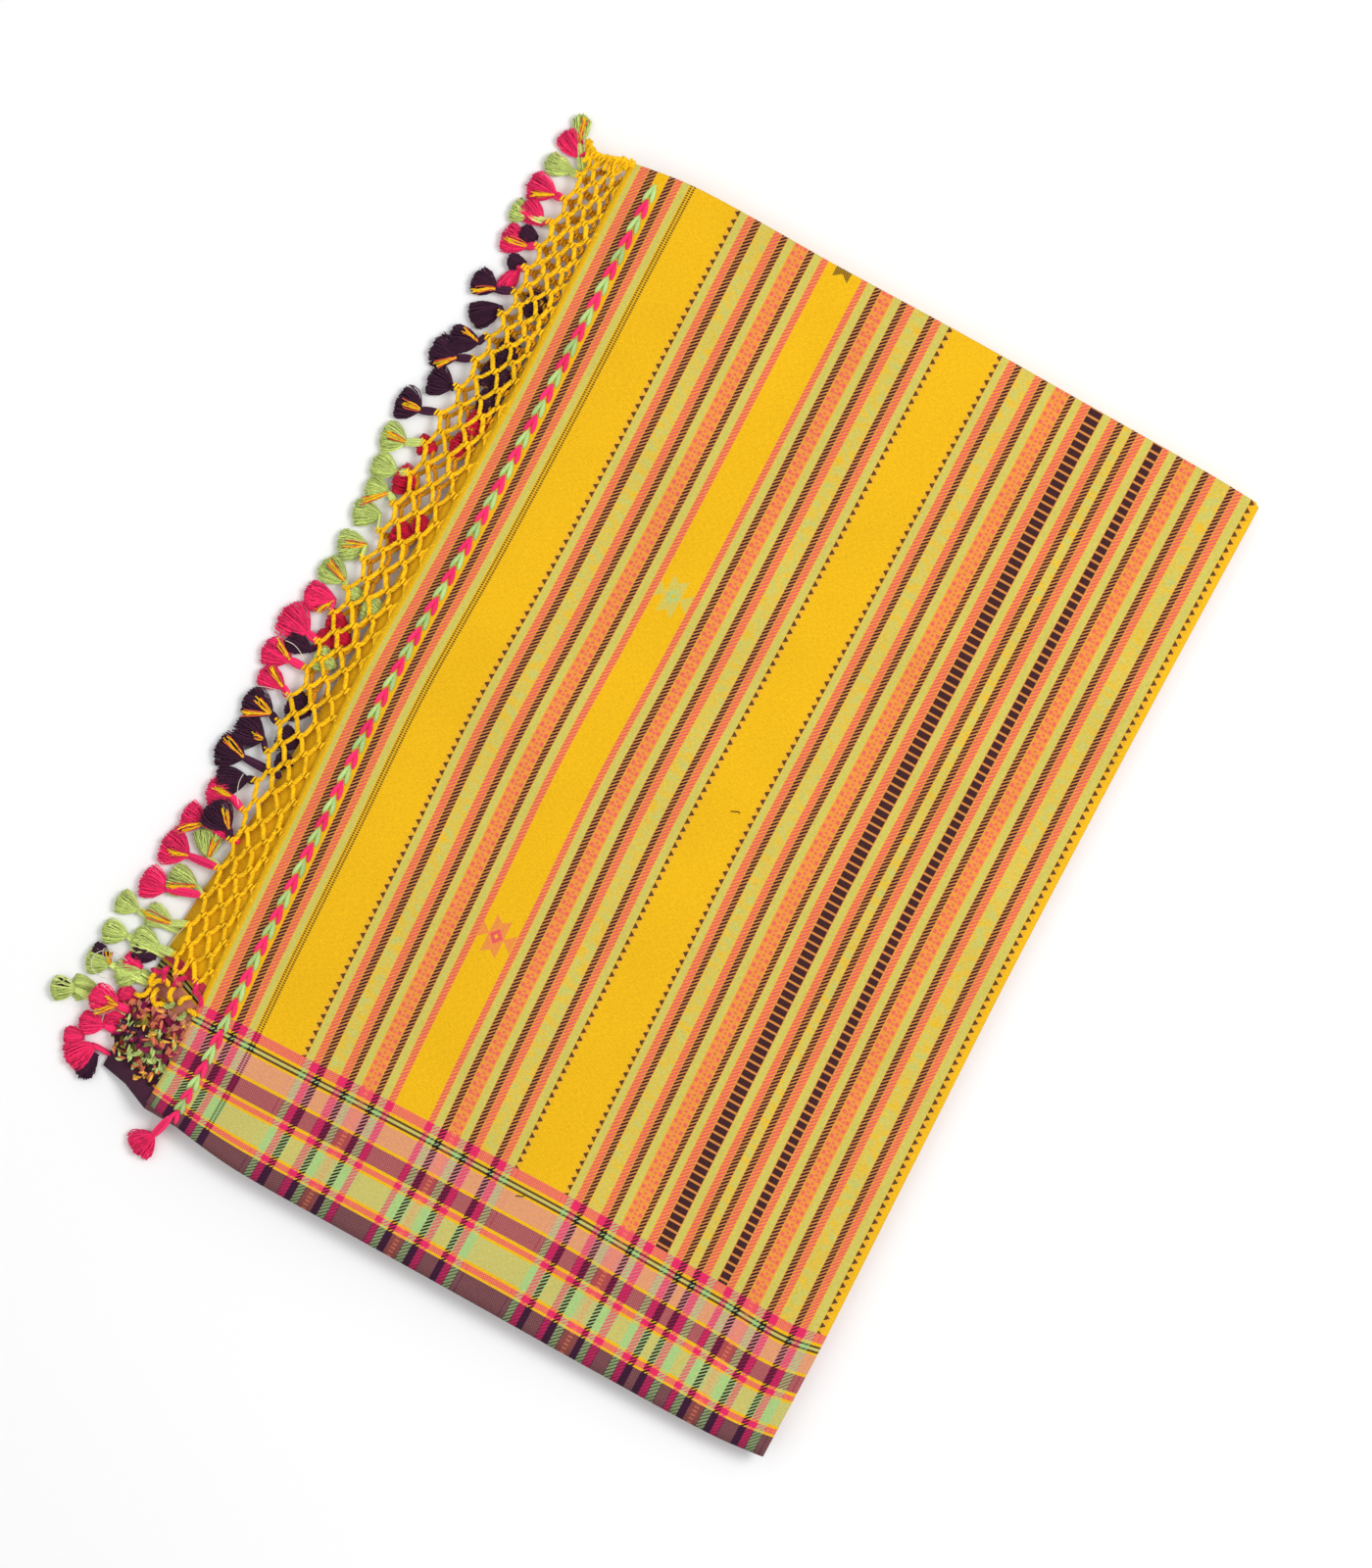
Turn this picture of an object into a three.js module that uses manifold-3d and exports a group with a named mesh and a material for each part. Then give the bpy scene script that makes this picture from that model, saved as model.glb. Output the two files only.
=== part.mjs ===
// A handwoven cotton saree, folded and lying flat, with its knotted and tasselled end on top.
// Millimetres, +Z up. The pieces are first laid out from the corner where the selvedge meets the right
// fold: X runs along the cloth and is 0 at that fold and negative towards the knotted end, Y runs across
// the cloth from the selvedges to the fold at the top, and Z is the height above the table.
// At the end everything is shifted so that the origin is under the middle of the whole.

import * as THREE from 'three';
import Module from 'manifold-3d';
import { mergeVertices } from 'three/addons/utils/BufferGeometryUtils.js';

const wasm = await Module();
wasm.setup();

// Driving sizes
const VISIBLE_LENGTH = 381;
const HALF_WIDTH = 580;
const WALL = 1.2;
const GAP = 0.3;
const STACK_TOP = 13.6;
const HIDDEN_FOLDS = 6;
const RIPPLE = 0.9;

// Heights of the middle of the two top walls, over the hidden layers
const UNDER_LEVEL = STACK_TOP + GAP + WALL / 2;
const TOP_LEVEL = UNDER_LEVEL + GAP + WALL;

// The folds of the top layer: radius of the turn and the straight drop after it
const RIGHT_FOLD = { radius: 2.4, drop: 1.2 };
const TOP_FOLD = { radius: 1.4, drop: 0.4 };
const FOLD_REACH = 1;

// Past the edge of the hidden layers the cloth and the nets sink towards the table
const DROP_START = -370;
const DROP_SOFTNESS = 4;
const TOP_SLOPE = 0.3;
const UNDER_SLOPE = 0.42;

// Net: where each row of knots lies, as a share of the net's reach, and the spacing along the cloth's edge
const KNOT_ROWS = [0.03, 0.27, 0.54, 0.79, 1];
const KNOT_PITCH = 17;
const FIRST_KNOT = 577;
const KNOTS = 33;
const NET_CORD = 2.6;
const NET_THICK = 2.2;
const DENSE_BELOW = 74;
const UNDER_NET_INSIDE = 3.5;
const UNDER_NET_LOWEST = 236;
const UNDER_NET_END_HEIGHT = 3.2;
const UNDER_KNOTS = Math.floor((FIRST_KNOT - UNDER_NET_LOWEST) / KNOT_PITCH);

// Places across the cloth where its walls have points
const TOP_ROWS = [0, 14, 33, 60, 95, 140, 190, 240, 290, 340, 400, 460, 520, 565];
const UNDER_ROWS = [0, 25, 60, 100, 150, 200, 250, 300, 345, 395, 440, 490, 540];

// Leaf stitches
const BRAID_PLACE = -363.7;
const BRAID_WIDTH = 5.6;
const BRAID_NARROW = 2.4;
const BRAID_THICK = 0.9;
const LEAF_LENGTH = 9.2;

// Tassels
const BEAD_RADIUS = 2.6;
const NECK_RADIUS = 1.2;
const NECK_START = 0.4;
const NECK_GAP = 0.6;
const NECK_SHORTEST = 0.8;
const NECK_SHIFT = 1.3;
const LOCK_ROOT = 1;
const LOCK_HEIGHT = 4.3;
const LEVEL_HEIGHT = 5.8;
const FLOOR_CLEARANCE = 0.3;

const YELLOW = 0xf6b914;
const ORANGE_YELLOW = 0xe0a018;
const TASSEL_COLOURS = { pink: 0xe0244f, purple: 0x3d1a40, green: 0x93c46a };

// How far the woven stripes wander along the cloth, at places across it
const WANDER = [
  { across: 0, atEnd: 2, atFold: 1.2 },
  { across: 60, atEnd: 4, atFold: 1.8 },
  { across: 120, atEnd: 2, atFold: 1.2 },
  { across: 200, atEnd: 0, atFold: 0.2 },
  { across: 280, atEnd: -2.5, atFold: -0.8 },
  { across: 360, atEnd: 0, atFold: -0.6 },
  { across: 440, atEnd: 1, atFold: 0 },
  { across: 520, atEnd: 0.6, atFold: 1.2 },
  { across: 585, atEnd: 0.4, atFold: 2.4 },
];

// Where the selvedge and the fold at the top run, at places along the cloth
const LONG_EDGES = [
  { along: -381, selvedge: 15, topFold: 581.5 },
  { along: -350, selvedge: 9, topFold: 585.2 },
  { along: -320, selvedge: 5, topFold: 585.4 },
  { along: -260, selvedge: 3, topFold: 583.3 },
  { along: -180, selvedge: 0.8, topFold: 581.8 },
  { along: -100, selvedge: -1.7, topFold: 579 },
  { along: -30, selvedge: -3, topFold: 576.4 },
  { along: 4, selvedge: -0.6, topFold: 574 },
];

// The woven edge of the lower half, from the selvedge up
const UNDER_EDGE = [
  { across: 20, x: -409 },
  { across: 100, x: -406 },
  { across: 150, x: -400 },
  { across: 250, x: -392 },
  { across: 345, x: -388 },
  { across: 440, x: -382 },
  { across: 585, x: -379 },
];

// How far the knots of the net reach past the cloth's edge
const NET_REACH = [
  { across: 20, reach: 22 },
  { across: 100, reach: 24 },
  { across: 160, reach: 23 },
  { across: 220, reach: 28 },
  { across: 280, reach: 28 },
  { across: 350, reach: 28.5 },
  { across: 410, reach: 30 },
  { across: 470, reach: 25 },
  { across: 530, reach: 24 },
  { across: 585, reach: 21 },
];

// The selvedge of the lower half, which shows below the knotted end
const UNDER_SELVEDGE = [
  { along: -409, y: 20.5 },
  { along: -395, y: 18.5 },
  { along: -381, y: 12 },
  { along: -360, y: 11.2 },
  { along: -320, y: 7 },
  { along: -180, y: 3 },
  { along: -30, y: 0 },
  { along: 4, y: 1 },
];

// The tassels: the middle of the skirt, the way it points in degrees from +X, its length and width,
// and the layer whose net it ends
const TASSELS = [
  { x: -413.5, y: 577, points: 150, length: 15, width: 13, colour: 'pink', layer: 'top' },
  { x: -414.5, y: 563.5, points: 185, length: 14, width: 11, colour: 'green', layer: 'top' },
  { x: -417, y: 548.5, points: 182, length: 15, width: 15, colour: 'pink', layer: 'top' },
  { x: -415, y: 534, points: 160, length: 14, width: 12, colour: 'pink', layer: 'top' },
  { x: -417, y: 517, points: 182, length: 14, width: 16, colour: 'pink', layer: 'top' },
  { x: -410, y: 497, points: 260, length: 15, width: 8, colour: 'pink', layer: 'top' },
  { x: -421, y: 489, points: 180, length: 13, width: 13, colour: 'purple', layer: 'top' },
  { x: -413, y: 475.5, points: 225, length: 17, width: 14, colour: 'purple', layer: 'top' },
  { x: -416.5, y: 457, points: 200, length: 15, width: 15, colour: 'purple', layer: 'top' },
  { x: -423, y: 446, points: 185, length: 14, width: 16, colour: 'purple', layer: 'top' },
  { x: -417.5, y: 431, points: 182, length: 13, width: 17, colour: 'purple', layer: 'top' },
  { x: -427, y: 412.5, points: 180, length: 13, width: 18, colour: 'purple', layer: 'top' },
  { x: -426, y: 392.5, points: 188, length: 13, width: 15, colour: 'green', layer: 'top' },
  { x: -423, y: 376.5, points: 182, length: 13, width: 14, colour: 'green', layer: 'top' },
  { x: -420, y: 350, points: 200, length: 14, width: 14, colour: 'green', layer: 'top' },
  { x: -419, y: 331, points: 208, length: 15, width: 15, colour: 'green', layer: 'top' },
  { x: -421, y: 313.5, points: 168, length: 15, width: 14, colour: 'green', layer: 'top' },
  { x: -421.5, y: 298, points: 195, length: 16, width: 14, colour: 'pink', layer: 'top' },
  { x: -427, y: 280, points: 168, length: 17, width: 18, colour: 'pink', layer: 'top' },
  { x: -428, y: 260.5, points: 182, length: 15, width: 15, colour: 'pink', layer: 'top' },
  { x: -424, y: 247, points: 172, length: 14, width: 13, colour: 'pink', layer: 'top' },
  { x: -424, y: 231.5, points: 172, length: 16, width: 15, colour: 'purple', layer: 'top' },
  { x: -421.5, y: 216, points: 182, length: 16, width: 19, colour: 'purple', layer: 'top' },
  { x: -418, y: 189, points: 212, length: 16, width: 16, colour: 'purple', layer: 'top' },
  { x: -421, y: 180, points: 188, length: 13, width: 14, colour: 'pink', layer: 'top' },
  { x: -414.5, y: 168, points: 158, length: 16, width: 16, colour: 'purple', layer: 'top' },
  { x: -414, y: 152.5, points: 118, length: 15, width: 15, colour: 'green', layer: 'top' },
  { x: -428, y: 142, points: 180, length: 15, width: 20, colour: 'pink', layer: 'top' },
  { x: -416.5, y: 128, points: 190, length: 15, width: 16, colour: 'green', layer: 'top' },
  { x: -429.5, y: 120, points: 184, length: 14, width: 16, colour: 'pink', layer: 'top' },
  { x: -419, y: 105, points: 182, length: 14, width: 13, colour: 'green', layer: 'top' },
  { x: -419, y: 90, points: 186, length: 14, width: 15, colour: 'green', layer: 'top' },
  { x: -419.5, y: 71, points: 215, length: 14, width: 14, colour: 'green', layer: 'top' },
  { x: -424, y: 53, points: 184, length: 15, width: 13, colour: 'pink', layer: 'top' },
  { x: -422.5, y: 21, points: 240, length: 16, width: 16, colour: 'pink', layer: 'top' },
  { x: -413.5, y: 586.5, points: 112, length: 14, width: 8, colour: 'green', layer: 'under' },
  { x: -422, y: 532, points: 180, length: 9, width: 12, colour: 'green', layer: 'under' },
  { x: -421, y: 364, points: 190, length: 12, width: 12, colour: 'green', layer: 'under' },
  { x: -420, y: 270, points: 182, length: 13, width: 11, colour: 'purple', layer: 'under' },
  { x: -426, y: 202, points: 185, length: 15, width: 17, colour: 'purple', layer: 'under' },
  { x: -427, y: 161, points: 182, length: 12, width: 16, colour: 'pink', layer: 'under' },
  { x: -437, y: 103.5, points: 178, length: 12, width: 13, colour: 'green', layer: 'under' },
  { x: -436, y: 87, points: 192, length: 13, width: 13, colour: 'green', layer: 'under' },
  { x: -437, y: 69, points: 196, length: 12, width: 13, colour: 'green', layer: 'under' },
  { x: -447, y: 47.5, points: 205, length: 12, width: 12, colour: 'green', layer: 'under' },
  { x: -437, y: 53, points: 205, length: 13, width: 13, colour: 'green', layer: 'under' },
  { x: -424.5, y: 38, points: 200, length: 13, width: 11, colour: 'pink', layer: 'under' },
];
const SELVEDGE_TASSEL = { x: -370.5, y: -6, points: 245, length: 13, width: 15, colour: 'pink' };
const SELVEDGE_TASSEL_ROOT = { x: -362.2, y: 10.2, z: 15.8 };

// Reads a smooth curve through one column of a short table
function follow(table, key, column, at) {
  const last = table.length - 1;
  const slope = (i) => {
    const before = table[Math.max(0, i - 1)];
    const after = table[Math.min(last, i + 1)];
    return (after[column] - before[column]) / (after[key] - before[key]);
  };
  if (at <= table[0][key]) return table[0][column];
  if (at >= table[last][key]) return table[last][column];
  const i = table.findIndex((row) => row[key] > at) - 1;
  const span = table[i + 1][key] - table[i][key];
  const t = (at - table[i][key]) / span;
  const start = table[i][column];
  const end = table[i + 1][column];
  return start * (2 * t ** 3 - 3 * t ** 2 + 1) + slope(i) * span * (t ** 3 - 2 * t ** 2 + t)
    + end * (3 * t ** 2 - 2 * t ** 3) + slope(i + 1) * span * (t ** 3 - t ** 2);
}

// Where a point of the woven cloth lies in plan: along and across are measured on the cloth
function clothPlace(along, across) {
  const share = across / HALF_WIDTH;
  const selvedge = follow(LONG_EDGES, 'along', 'selvedge', along);
  const topFold = follow(LONG_EDGES, 'along', 'topFold', along);
  const y = selvedge + (topFold - selvedge) * share;
  const nearEnd = Math.min(1, Math.max(0, -along / VISIBLE_LENGTH));
  const wander = THREE.MathUtils.lerp(
    follow(WANDER, 'across', 'atFold', y), follow(WANDER, 'across', 'atEnd', y), nearEnd);
  return { x: along + wander, y };
}

// How far the cloth has sunk below its level at x, and the soft ripples of its surface
function sink(x, slope) {
  const past = Math.max(0, DROP_START - x);
  return Math.hypot(slope * past, DROP_SOFTNESS) - DROP_SOFTNESS;
}

function ripple(x, y) {
  const fade = THREE.MathUtils.smoothstep(x, DROP_START, DROP_START + 40);
  return RIPPLE * fade * (0.5 + 0.5 * Math.sin(x / 37 + y / 91) * Math.cos(y / 53));
}

// A turn of 90 degrees and a straight drop, by the length of cloth used
function foldCurve(used, fold) {
  const quarter = fold.radius * Math.PI / 2;
  if (used <= 0) return { out: used, down: 0 };
  const angle = Math.min(used, quarter) / fold.radius;
  const straight = Math.max(0, used - quarter);
  return { out: fold.radius * Math.sin(angle), down: fold.radius * (1 - Math.cos(angle)) + straight };
}

function foldStations(fold) {
  const quarter = fold.radius * Math.PI / 2;
  return [0, quarter / 3, quarter * 2 / 3, quarter, quarter + fold.drop];
}

function geometryOf(positions, index) {
  const geometry = new THREE.BufferGeometry();
  geometry.setAttribute('position', new THREE.Float32BufferAttribute(positions.flat(), 3));
  geometry.setIndex(index);
  return geometry;
}

// A closed wall on a grid of middle points, WALL thick, worked out from the grid's own normals
function wallFromGrid(grid) {
  const rows = grid.length;
  const columns = grid[0].length;
  const point = (i, j) => grid[Math.min(rows - 1, Math.max(0, i))][Math.min(columns - 1, Math.max(0, j))];
  const upper = [];
  const lower = [];
  for (let i = 0; i < rows; i++) {
    for (let j = 0; j < columns; j++) {
      const alongStep = point(i + 1, j).clone().sub(point(i - 1, j));
      const acrossStep = point(i, j + 1).clone().sub(point(i, j - 1));
      const normal = alongStep.cross(acrossStep).normalize().multiplyScalar(WALL / 2);
      upper.push(point(i, j).clone().add(normal).toArray());
      lower.push(point(i, j).clone().sub(normal).toArray());
    }
  }
  const count = rows * columns;
  const at = (i, j) => i * columns + j;
  const index = [];
  const quad = (a, b, c, d) => index.push(a, b, c, a, c, d);
  for (let i = 0; i < rows - 1; i++) {
    for (let j = 0; j < columns - 1; j++) {
      quad(at(i, j), at(i + 1, j), at(i + 1, j + 1), at(i, j + 1));
      quad(count + at(i, j), count + at(i, j + 1), count + at(i + 1, j + 1), count + at(i + 1, j));
    }
  }
  for (let i = 0; i < rows - 1; i++) {
    const end = columns - 1;
    quad(at(i + 1, 0), at(i, 0), count + at(i, 0), count + at(i + 1, 0));
    quad(at(i, end), at(i + 1, end), count + at(i + 1, end), count + at(i, end));
  }
  for (let j = 0; j < columns - 1; j++) {
    quad(at(0, j), at(0, j + 1), count + at(0, j + 1), count + at(0, j));
    quad(at(rows - 1, j + 1), at(rows - 1, j), count + at(rows - 1, j), count + at(rows - 1, j + 1));
  }
  return geometryOf([...upper, ...lower], index);
}

// A closed solid through rings of the same number of points, the first ring lowest
function solidThroughRings(rings) {
  const sides = rings[0].length;
  const positions = rings.flat().map((p) => p.toArray());
  const index = [];
  for (let r = 0; r < rings.length - 1; r++) {
    for (let s = 0; s < sides; s++) {
      const next = (s + 1) % sides;
      const a = r * sides + s;
      const b = r * sides + next;
      index.push(a, b, b + sides, a, b + sides, a + sides);
    }
  }
  const middleOf = (ring) => ring.reduce((sum, p) => sum.add(p), new THREE.Vector3()).divideScalar(sides);
  const bottom = positions.push(middleOf(rings[0]).toArray()) - 1;
  const top = positions.push(middleOf(rings[rings.length - 1]).toArray()) - 1;
  const last = (rings.length - 1) * sides;
  for (let s = 0; s < sides; s++) {
    const next = (s + 1) % sides;
    index.push(bottom, next, s);
    index.push(top, last + s, last + next);
  }
  return geometryOf(positions, index);
}

// The upper half of the top panel, turned down over the right fold and the fold at the top
function topLayer() {
  const foldStart = FOLD_REACH - RIGHT_FOLD.radius;
  const alongFlat = [-381, -375, -368, -356, -335, -300, -250, -200, -150, -100, -50, -15];
  const topFoldStart = HALF_WIDTH - TOP_FOLD.radius;
  const alongTurned = foldStations(RIGHT_FOLD).map((used) => foldStart + used);
  const acrossTurned = foldStations(TOP_FOLD).map((used) => topFoldStart + used);
  const grid = [...alongFlat, ...alongTurned].map((along) => {
    const right = foldCurve(along - foldStart, RIGHT_FOLD);
    return [...TOP_ROWS, ...acrossTurned].map((across) => {
      const top = foldCurve(across - topFoldStart, TOP_FOLD);
      const corner = Math.max(0, right.out) / RIGHT_FOLD.radius * Math.max(0, top.out) / TOP_FOLD.radius;
      const place = clothPlace(foldStart + right.out - corner * 1.6, topFoldStart + top.out - corner * 1.6);
      const down = Math.cbrt(right.down ** 3 + top.down ** 3);
      const height = TOP_LEVEL - sink(place.x, TOP_SLOPE) + ripple(place.x, place.y) - down;
      return new THREE.Vector3(place.x, place.y, height);
    });
  });
  return wallFromGrid(grid);
}

// The lower half of the same panel. It reaches past the upper half at the knotted end.
function underLayer() {
  const rightEnd = FOLD_REACH - 3.2;
  const topEnd = HALF_WIDTH - 2.8;
  const hanging = [0, 0.3, 0.6, 0.85];
  const flat = [0, 0.08, 0.2, 0.35, 0.5, 0.65, 0.8, 0.92, 1];
  const acrossRows = [...UNDER_ROWS, topEnd];
  const stations = [...hanging.map((share) => ({ share })), ...flat.map((share) => ({ share, flat: true }))];
  const grid = stations.map((station) => acrossRows.map((across) => {
    const left = follow(UNDER_EDGE, 'across', 'x', across);
    const end = clothPlace(rightEnd, across).x;
    const x = station.flat
      ? THREE.MathUtils.lerp(DROP_START, end, station.share)
      : THREE.MathUtils.lerp(left, DROP_START, station.share);
    const selvedge = follow(UNDER_SELVEDGE, 'along', 'y', x);
    const topFold = follow(LONG_EDGES, 'along', 'topFold', x);
    const y = selvedge + (topFold - selvedge) * across / HALF_WIDTH;
    return new THREE.Vector3(x, y, UNDER_LEVEL - sink(x, UNDER_SLOPE) + ripple(x, y));
  }));
  return wallFromGrid(grid);
}

// One level of the hidden layers: a rounded rectangle that keeps inside the top layer's outline
function stackRing(z, inset) {
  const cornerRadius = 7;
  const left = DROP_START + 4 + inset.left;
  const right = -inset.right;
  const bottom = inset.bottom;
  const top = HALF_WIDTH - inset.top;
  const corners = [];
  const turn = 3;
  const middles = [
    { x: right - cornerRadius, y: bottom + cornerRadius, from: -Math.PI / 2 },
    { x: right - cornerRadius, y: top - cornerRadius, from: 0 },
    { x: left + cornerRadius, y: top - cornerRadius, from: Math.PI / 2 },
    { x: left + cornerRadius, y: bottom + cornerRadius, from: Math.PI },
  ];
  for (const middle of middles) {
    for (let step = 0; step <= turn; step++) {
      const angle = middle.from + step * Math.PI / 2 / turn;
      corners.push({
        x: middle.x + cornerRadius * Math.cos(angle),
        y: middle.y + cornerRadius * Math.sin(angle),
      });
    }
  }
  const sidesBetween = 4;
  const outline = [];
  corners.forEach((corner, i) => {
    outline.push(corner);
    const next = corners[(i + 1) % corners.length];
    if (i % (turn + 1) !== turn) return;
    for (let s = 1; s < sidesBetween; s++) {
      const t = s / sidesBetween;
      outline.push({ x: corner.x + (next.x - corner.x) * t, y: corner.y + (next.y - corner.y) * t });
    }
  });
  return outline.map((p) => {
    const place = clothPlace(p.x, p.y);
    return new THREE.Vector3(place.x, place.y, z);
  });
}

// All the panels below, as one solid with a soft bulge for each pair of panels at its edges
function hiddenLayers() {
  const fold = STACK_TOP / HIDDEN_FOLDS;
  const rings = [];
  for (let f = 0; f < HIDDEN_FOLDS; f++) {
    const highest = f === HIDDEN_FOLDS - 1;
    const shift = {
      left: 0.9 + 0.9 * Math.sin(f * 2.3),
      right: highest ? 4.2 : 1.4 + 0.7 * Math.sin(f * 1.7 + 1),
      bottom: 5 + 1.2 * Math.sin(f * 2.9 + 2),
      top: 2.6 + 0.8 * Math.sin(f * 2.1 + 3),
    };
    const groove = 0.9;
    const levels = [{ at: 0, inset: f === 0 ? 0.5 : groove }, { at: 0.3, inset: 0 }, { at: 0.75, inset: 0 }];
    for (const level of levels) {
      rings.push(stackRing((f + level.at) * fold, {
        left: shift.left + level.inset,
        right: shift.right + level.inset,
        bottom: shift.bottom + level.inset,
        top: shift.top + level.inset,
      }));
    }
  }
  rings.push(stackRing(STACK_TOP, { left: 2, right: 5, bottom: 6, top: 4 }));
  return solidThroughRings(rings);
}

// A plate cut from a drawn outline with holes, then bent to follow the fall of the cloth
function bentPlate(shape, heightAt) {
  const plate = { depth: NET_THICK, bevelEnabled: false, curveSegments: 1 };
  const geometry = new THREE.ExtrudeGeometry(shape, plate);
  const place = geometry.getAttribute('position');
  for (let i = 0; i < place.count; i++) {
    place.setZ(i, place.getZ(i) + heightAt(place.getX(i), place.getY(i)));
  }
  return geometry;
}

function shapeThrough(points) {
  return new THREE.Shape(points.map((p) => new THREE.Vector2(p.x, p.y)));
}

// A net's gap: the cell between knots, drawn in by half a cord
function gapThrough(knots) {
  const middle = {
    x: knots.reduce((sum, k) => sum + k.x, 0) / knots.length,
    y: knots.reduce((sum, k) => sum + k.y, 0) / knots.length,
  };
  const spread = Math.min(...knots.map((knot, i) => {
    const next = knots[(i + 1) % knots.length];
    const edge = Math.hypot(next.x - knot.x, next.y - knot.y);
    return Math.abs((next.x - knot.x) * (middle.y - knot.y) - (next.y - knot.y) * (middle.x - knot.x)) / edge;
  }));
  const scale = 1 - (NET_CORD / 2) / spread;
  return new THREE.Path(knots.map((k) => new THREE.Vector2(
    middle.x + (k.x - middle.x) * scale, middle.y + (k.y - middle.y) * scale)));
}

// The woven edge of a layer at height y across, between the points of its wall
function edgeThrough(points, y) {
  const above = Math.max(1, points.findIndex((p, i) => i > 0 && p.y >= y));
  const from = points[above - 1];
  const to = points[above];
  return THREE.MathUtils.mapLinear(y, from.y, to.y, from.x, to.x);
}

const TOP_EDGE_POINTS = [...TOP_ROWS, HALF_WIDTH].map((across) => clothPlace(-VISIBLE_LENGTH, across));
const UNDER_EDGE_POINTS = [...UNDER_ROWS, HALF_WIDTH].map((across) => {
  const x = follow(UNDER_EDGE, 'across', 'x', across);
  const selvedge = follow(UNDER_SELVEDGE, 'along', 'y', x);
  const topFold = follow(LONG_EDGES, 'along', 'topFold', x);
  return { x, y: selvedge + (topFold - selvedge) * across / HALF_WIDTH };
});

function topKnot(row, k) {
  const y = FIRST_KNOT - KNOT_PITCH * (k + (row % 2) / 2);
  const edge = edgeThrough(TOP_EDGE_POINTS, Math.min(y, HALF_WIDTH));
  return { x: edge - GAP - KNOT_ROWS[row] * follow(NET_REACH, 'across', 'reach', y), y };
}

// The tip of a net's outer knot, where a tassel hangs
function netTip(knot) {
  return { x: knot.x - NET_CORD * 0.6, y: knot.y };
}

function topNetHeight(x) {
  return TOP_LEVEL - NET_THICK / 2 - sink(x, TOP_SLOPE);
}

function topNet() {
  const outline = [];
  const topEnd = FIRST_KNOT + 3;
  const lowEnd = topKnot(4, KNOTS - 1).y - 3;
  for (let k = -1; k < KNOTS; k++) {
    const y = Math.max(lowEnd, Math.min(topEnd, FIRST_KNOT - KNOT_PITCH * (k + 0.5)));
    outline.push({ x: edgeThrough(TOP_EDGE_POINTS, y) - GAP, y });
  }
  for (let k = KNOTS - 1; k >= 0; k--) {
    const tip = netTip(topKnot(4, k));
    outline.push({ x: tip.x, y: tip.y - 1.4 }, { x: tip.x, y: tip.y + 1.4 });
    if (k === 0) continue;
    const valley = topKnot(3, k - 1);
    outline.push({ x: valley.x - NET_CORD * 0.6, y: valley.y });
  }
  outline.push({ x: topKnot(4, 0).x + 4, y: topEnd });
  const shape = shapeThrough(outline.reverse());
  for (let k = 0; k < KNOTS - 1; k++) {
    const edge = [topKnot(0, k), topKnot(1, k), topKnot(0, k + 1)];
    const cells = [
      edge,
      k > 0 && [topKnot(0, k), topKnot(1, k - 1), topKnot(2, k), topKnot(1, k)],
      [topKnot(1, k), topKnot(2, k), topKnot(3, k), topKnot(2, k + 1)],
      k > 0 && [topKnot(2, k), topKnot(3, k - 1), topKnot(4, k), topKnot(3, k)],
    ];
    for (const cell of cells) {
      if (cell && cell[0].y > DENSE_BELOW + KNOT_PITCH) shape.holes.push(gapThrough(cell));
    }
  }
  return bentPlate(shape, topNetHeight);
}

// The lower half's net: two rows of gaps, under the top one
function underKnot(row, k) {
  const y = FIRST_KNOT - KNOT_PITCH * (k + 0.5 - (row % 2) / 2);
  const edge = edgeThrough(UNDER_EDGE_POINTS, y) - GAP;
  return { x: THREE.MathUtils.lerp(edge - 0.8, underNetEnd(y), [0, 0.5, 1][row]), y };
}

function underNetEnd(y) {
  return edgeThrough(TOP_EDGE_POINTS, y) - follow(NET_REACH, 'across', 'reach', y) + UNDER_NET_INSIDE;
}

function underNetHeight(x, y) {
  const edge = edgeThrough(UNDER_EDGE_POINTS, y) - GAP;
  const atEdge = UNDER_LEVEL - sink(edge, UNDER_SLOPE) - NET_THICK / 2;
  const share = THREE.MathUtils.clamp((edge - x) / (edge - underNetEnd(y)), 0, 1);
  return THREE.MathUtils.lerp(atEdge, Math.min(atEdge, UNDER_NET_END_HEIGHT), share);
}

function underNet() {
  const count = UNDER_KNOTS;
  const outline = [];
  for (let k = 0; k < count; k++) {
    const y = underKnot(0, k).y;
    outline.push({ x: edgeThrough(UNDER_EDGE_POINTS, y) - GAP, y });
  }
  for (let k = count - 1; k >= 0; k--) {
    const tip = underKnot(2, k);
    outline.push({ x: tip.x, y: tip.y - 1.4 }, { x: tip.x, y: tip.y + 1.4 });
    if (k === 0) continue;
    const valley = underKnot(1, k);
    outline.push({ x: valley.x - NET_CORD, y: valley.y });
  }
  const shape = shapeThrough(outline.reverse());
  for (let k = 0; k < count - 1; k++) {
    shape.holes.push(gapThrough([underKnot(0, k), underKnot(1, k + 1), underKnot(0, k + 1)]));
    if (k > 0) {
      shape.holes.push(gapThrough([underKnot(0, k), underKnot(1, k), underKnot(2, k), underKnot(1, k + 1)]));
    }
  }
  return bentPlate(shape, underNetHeight);
}

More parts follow.
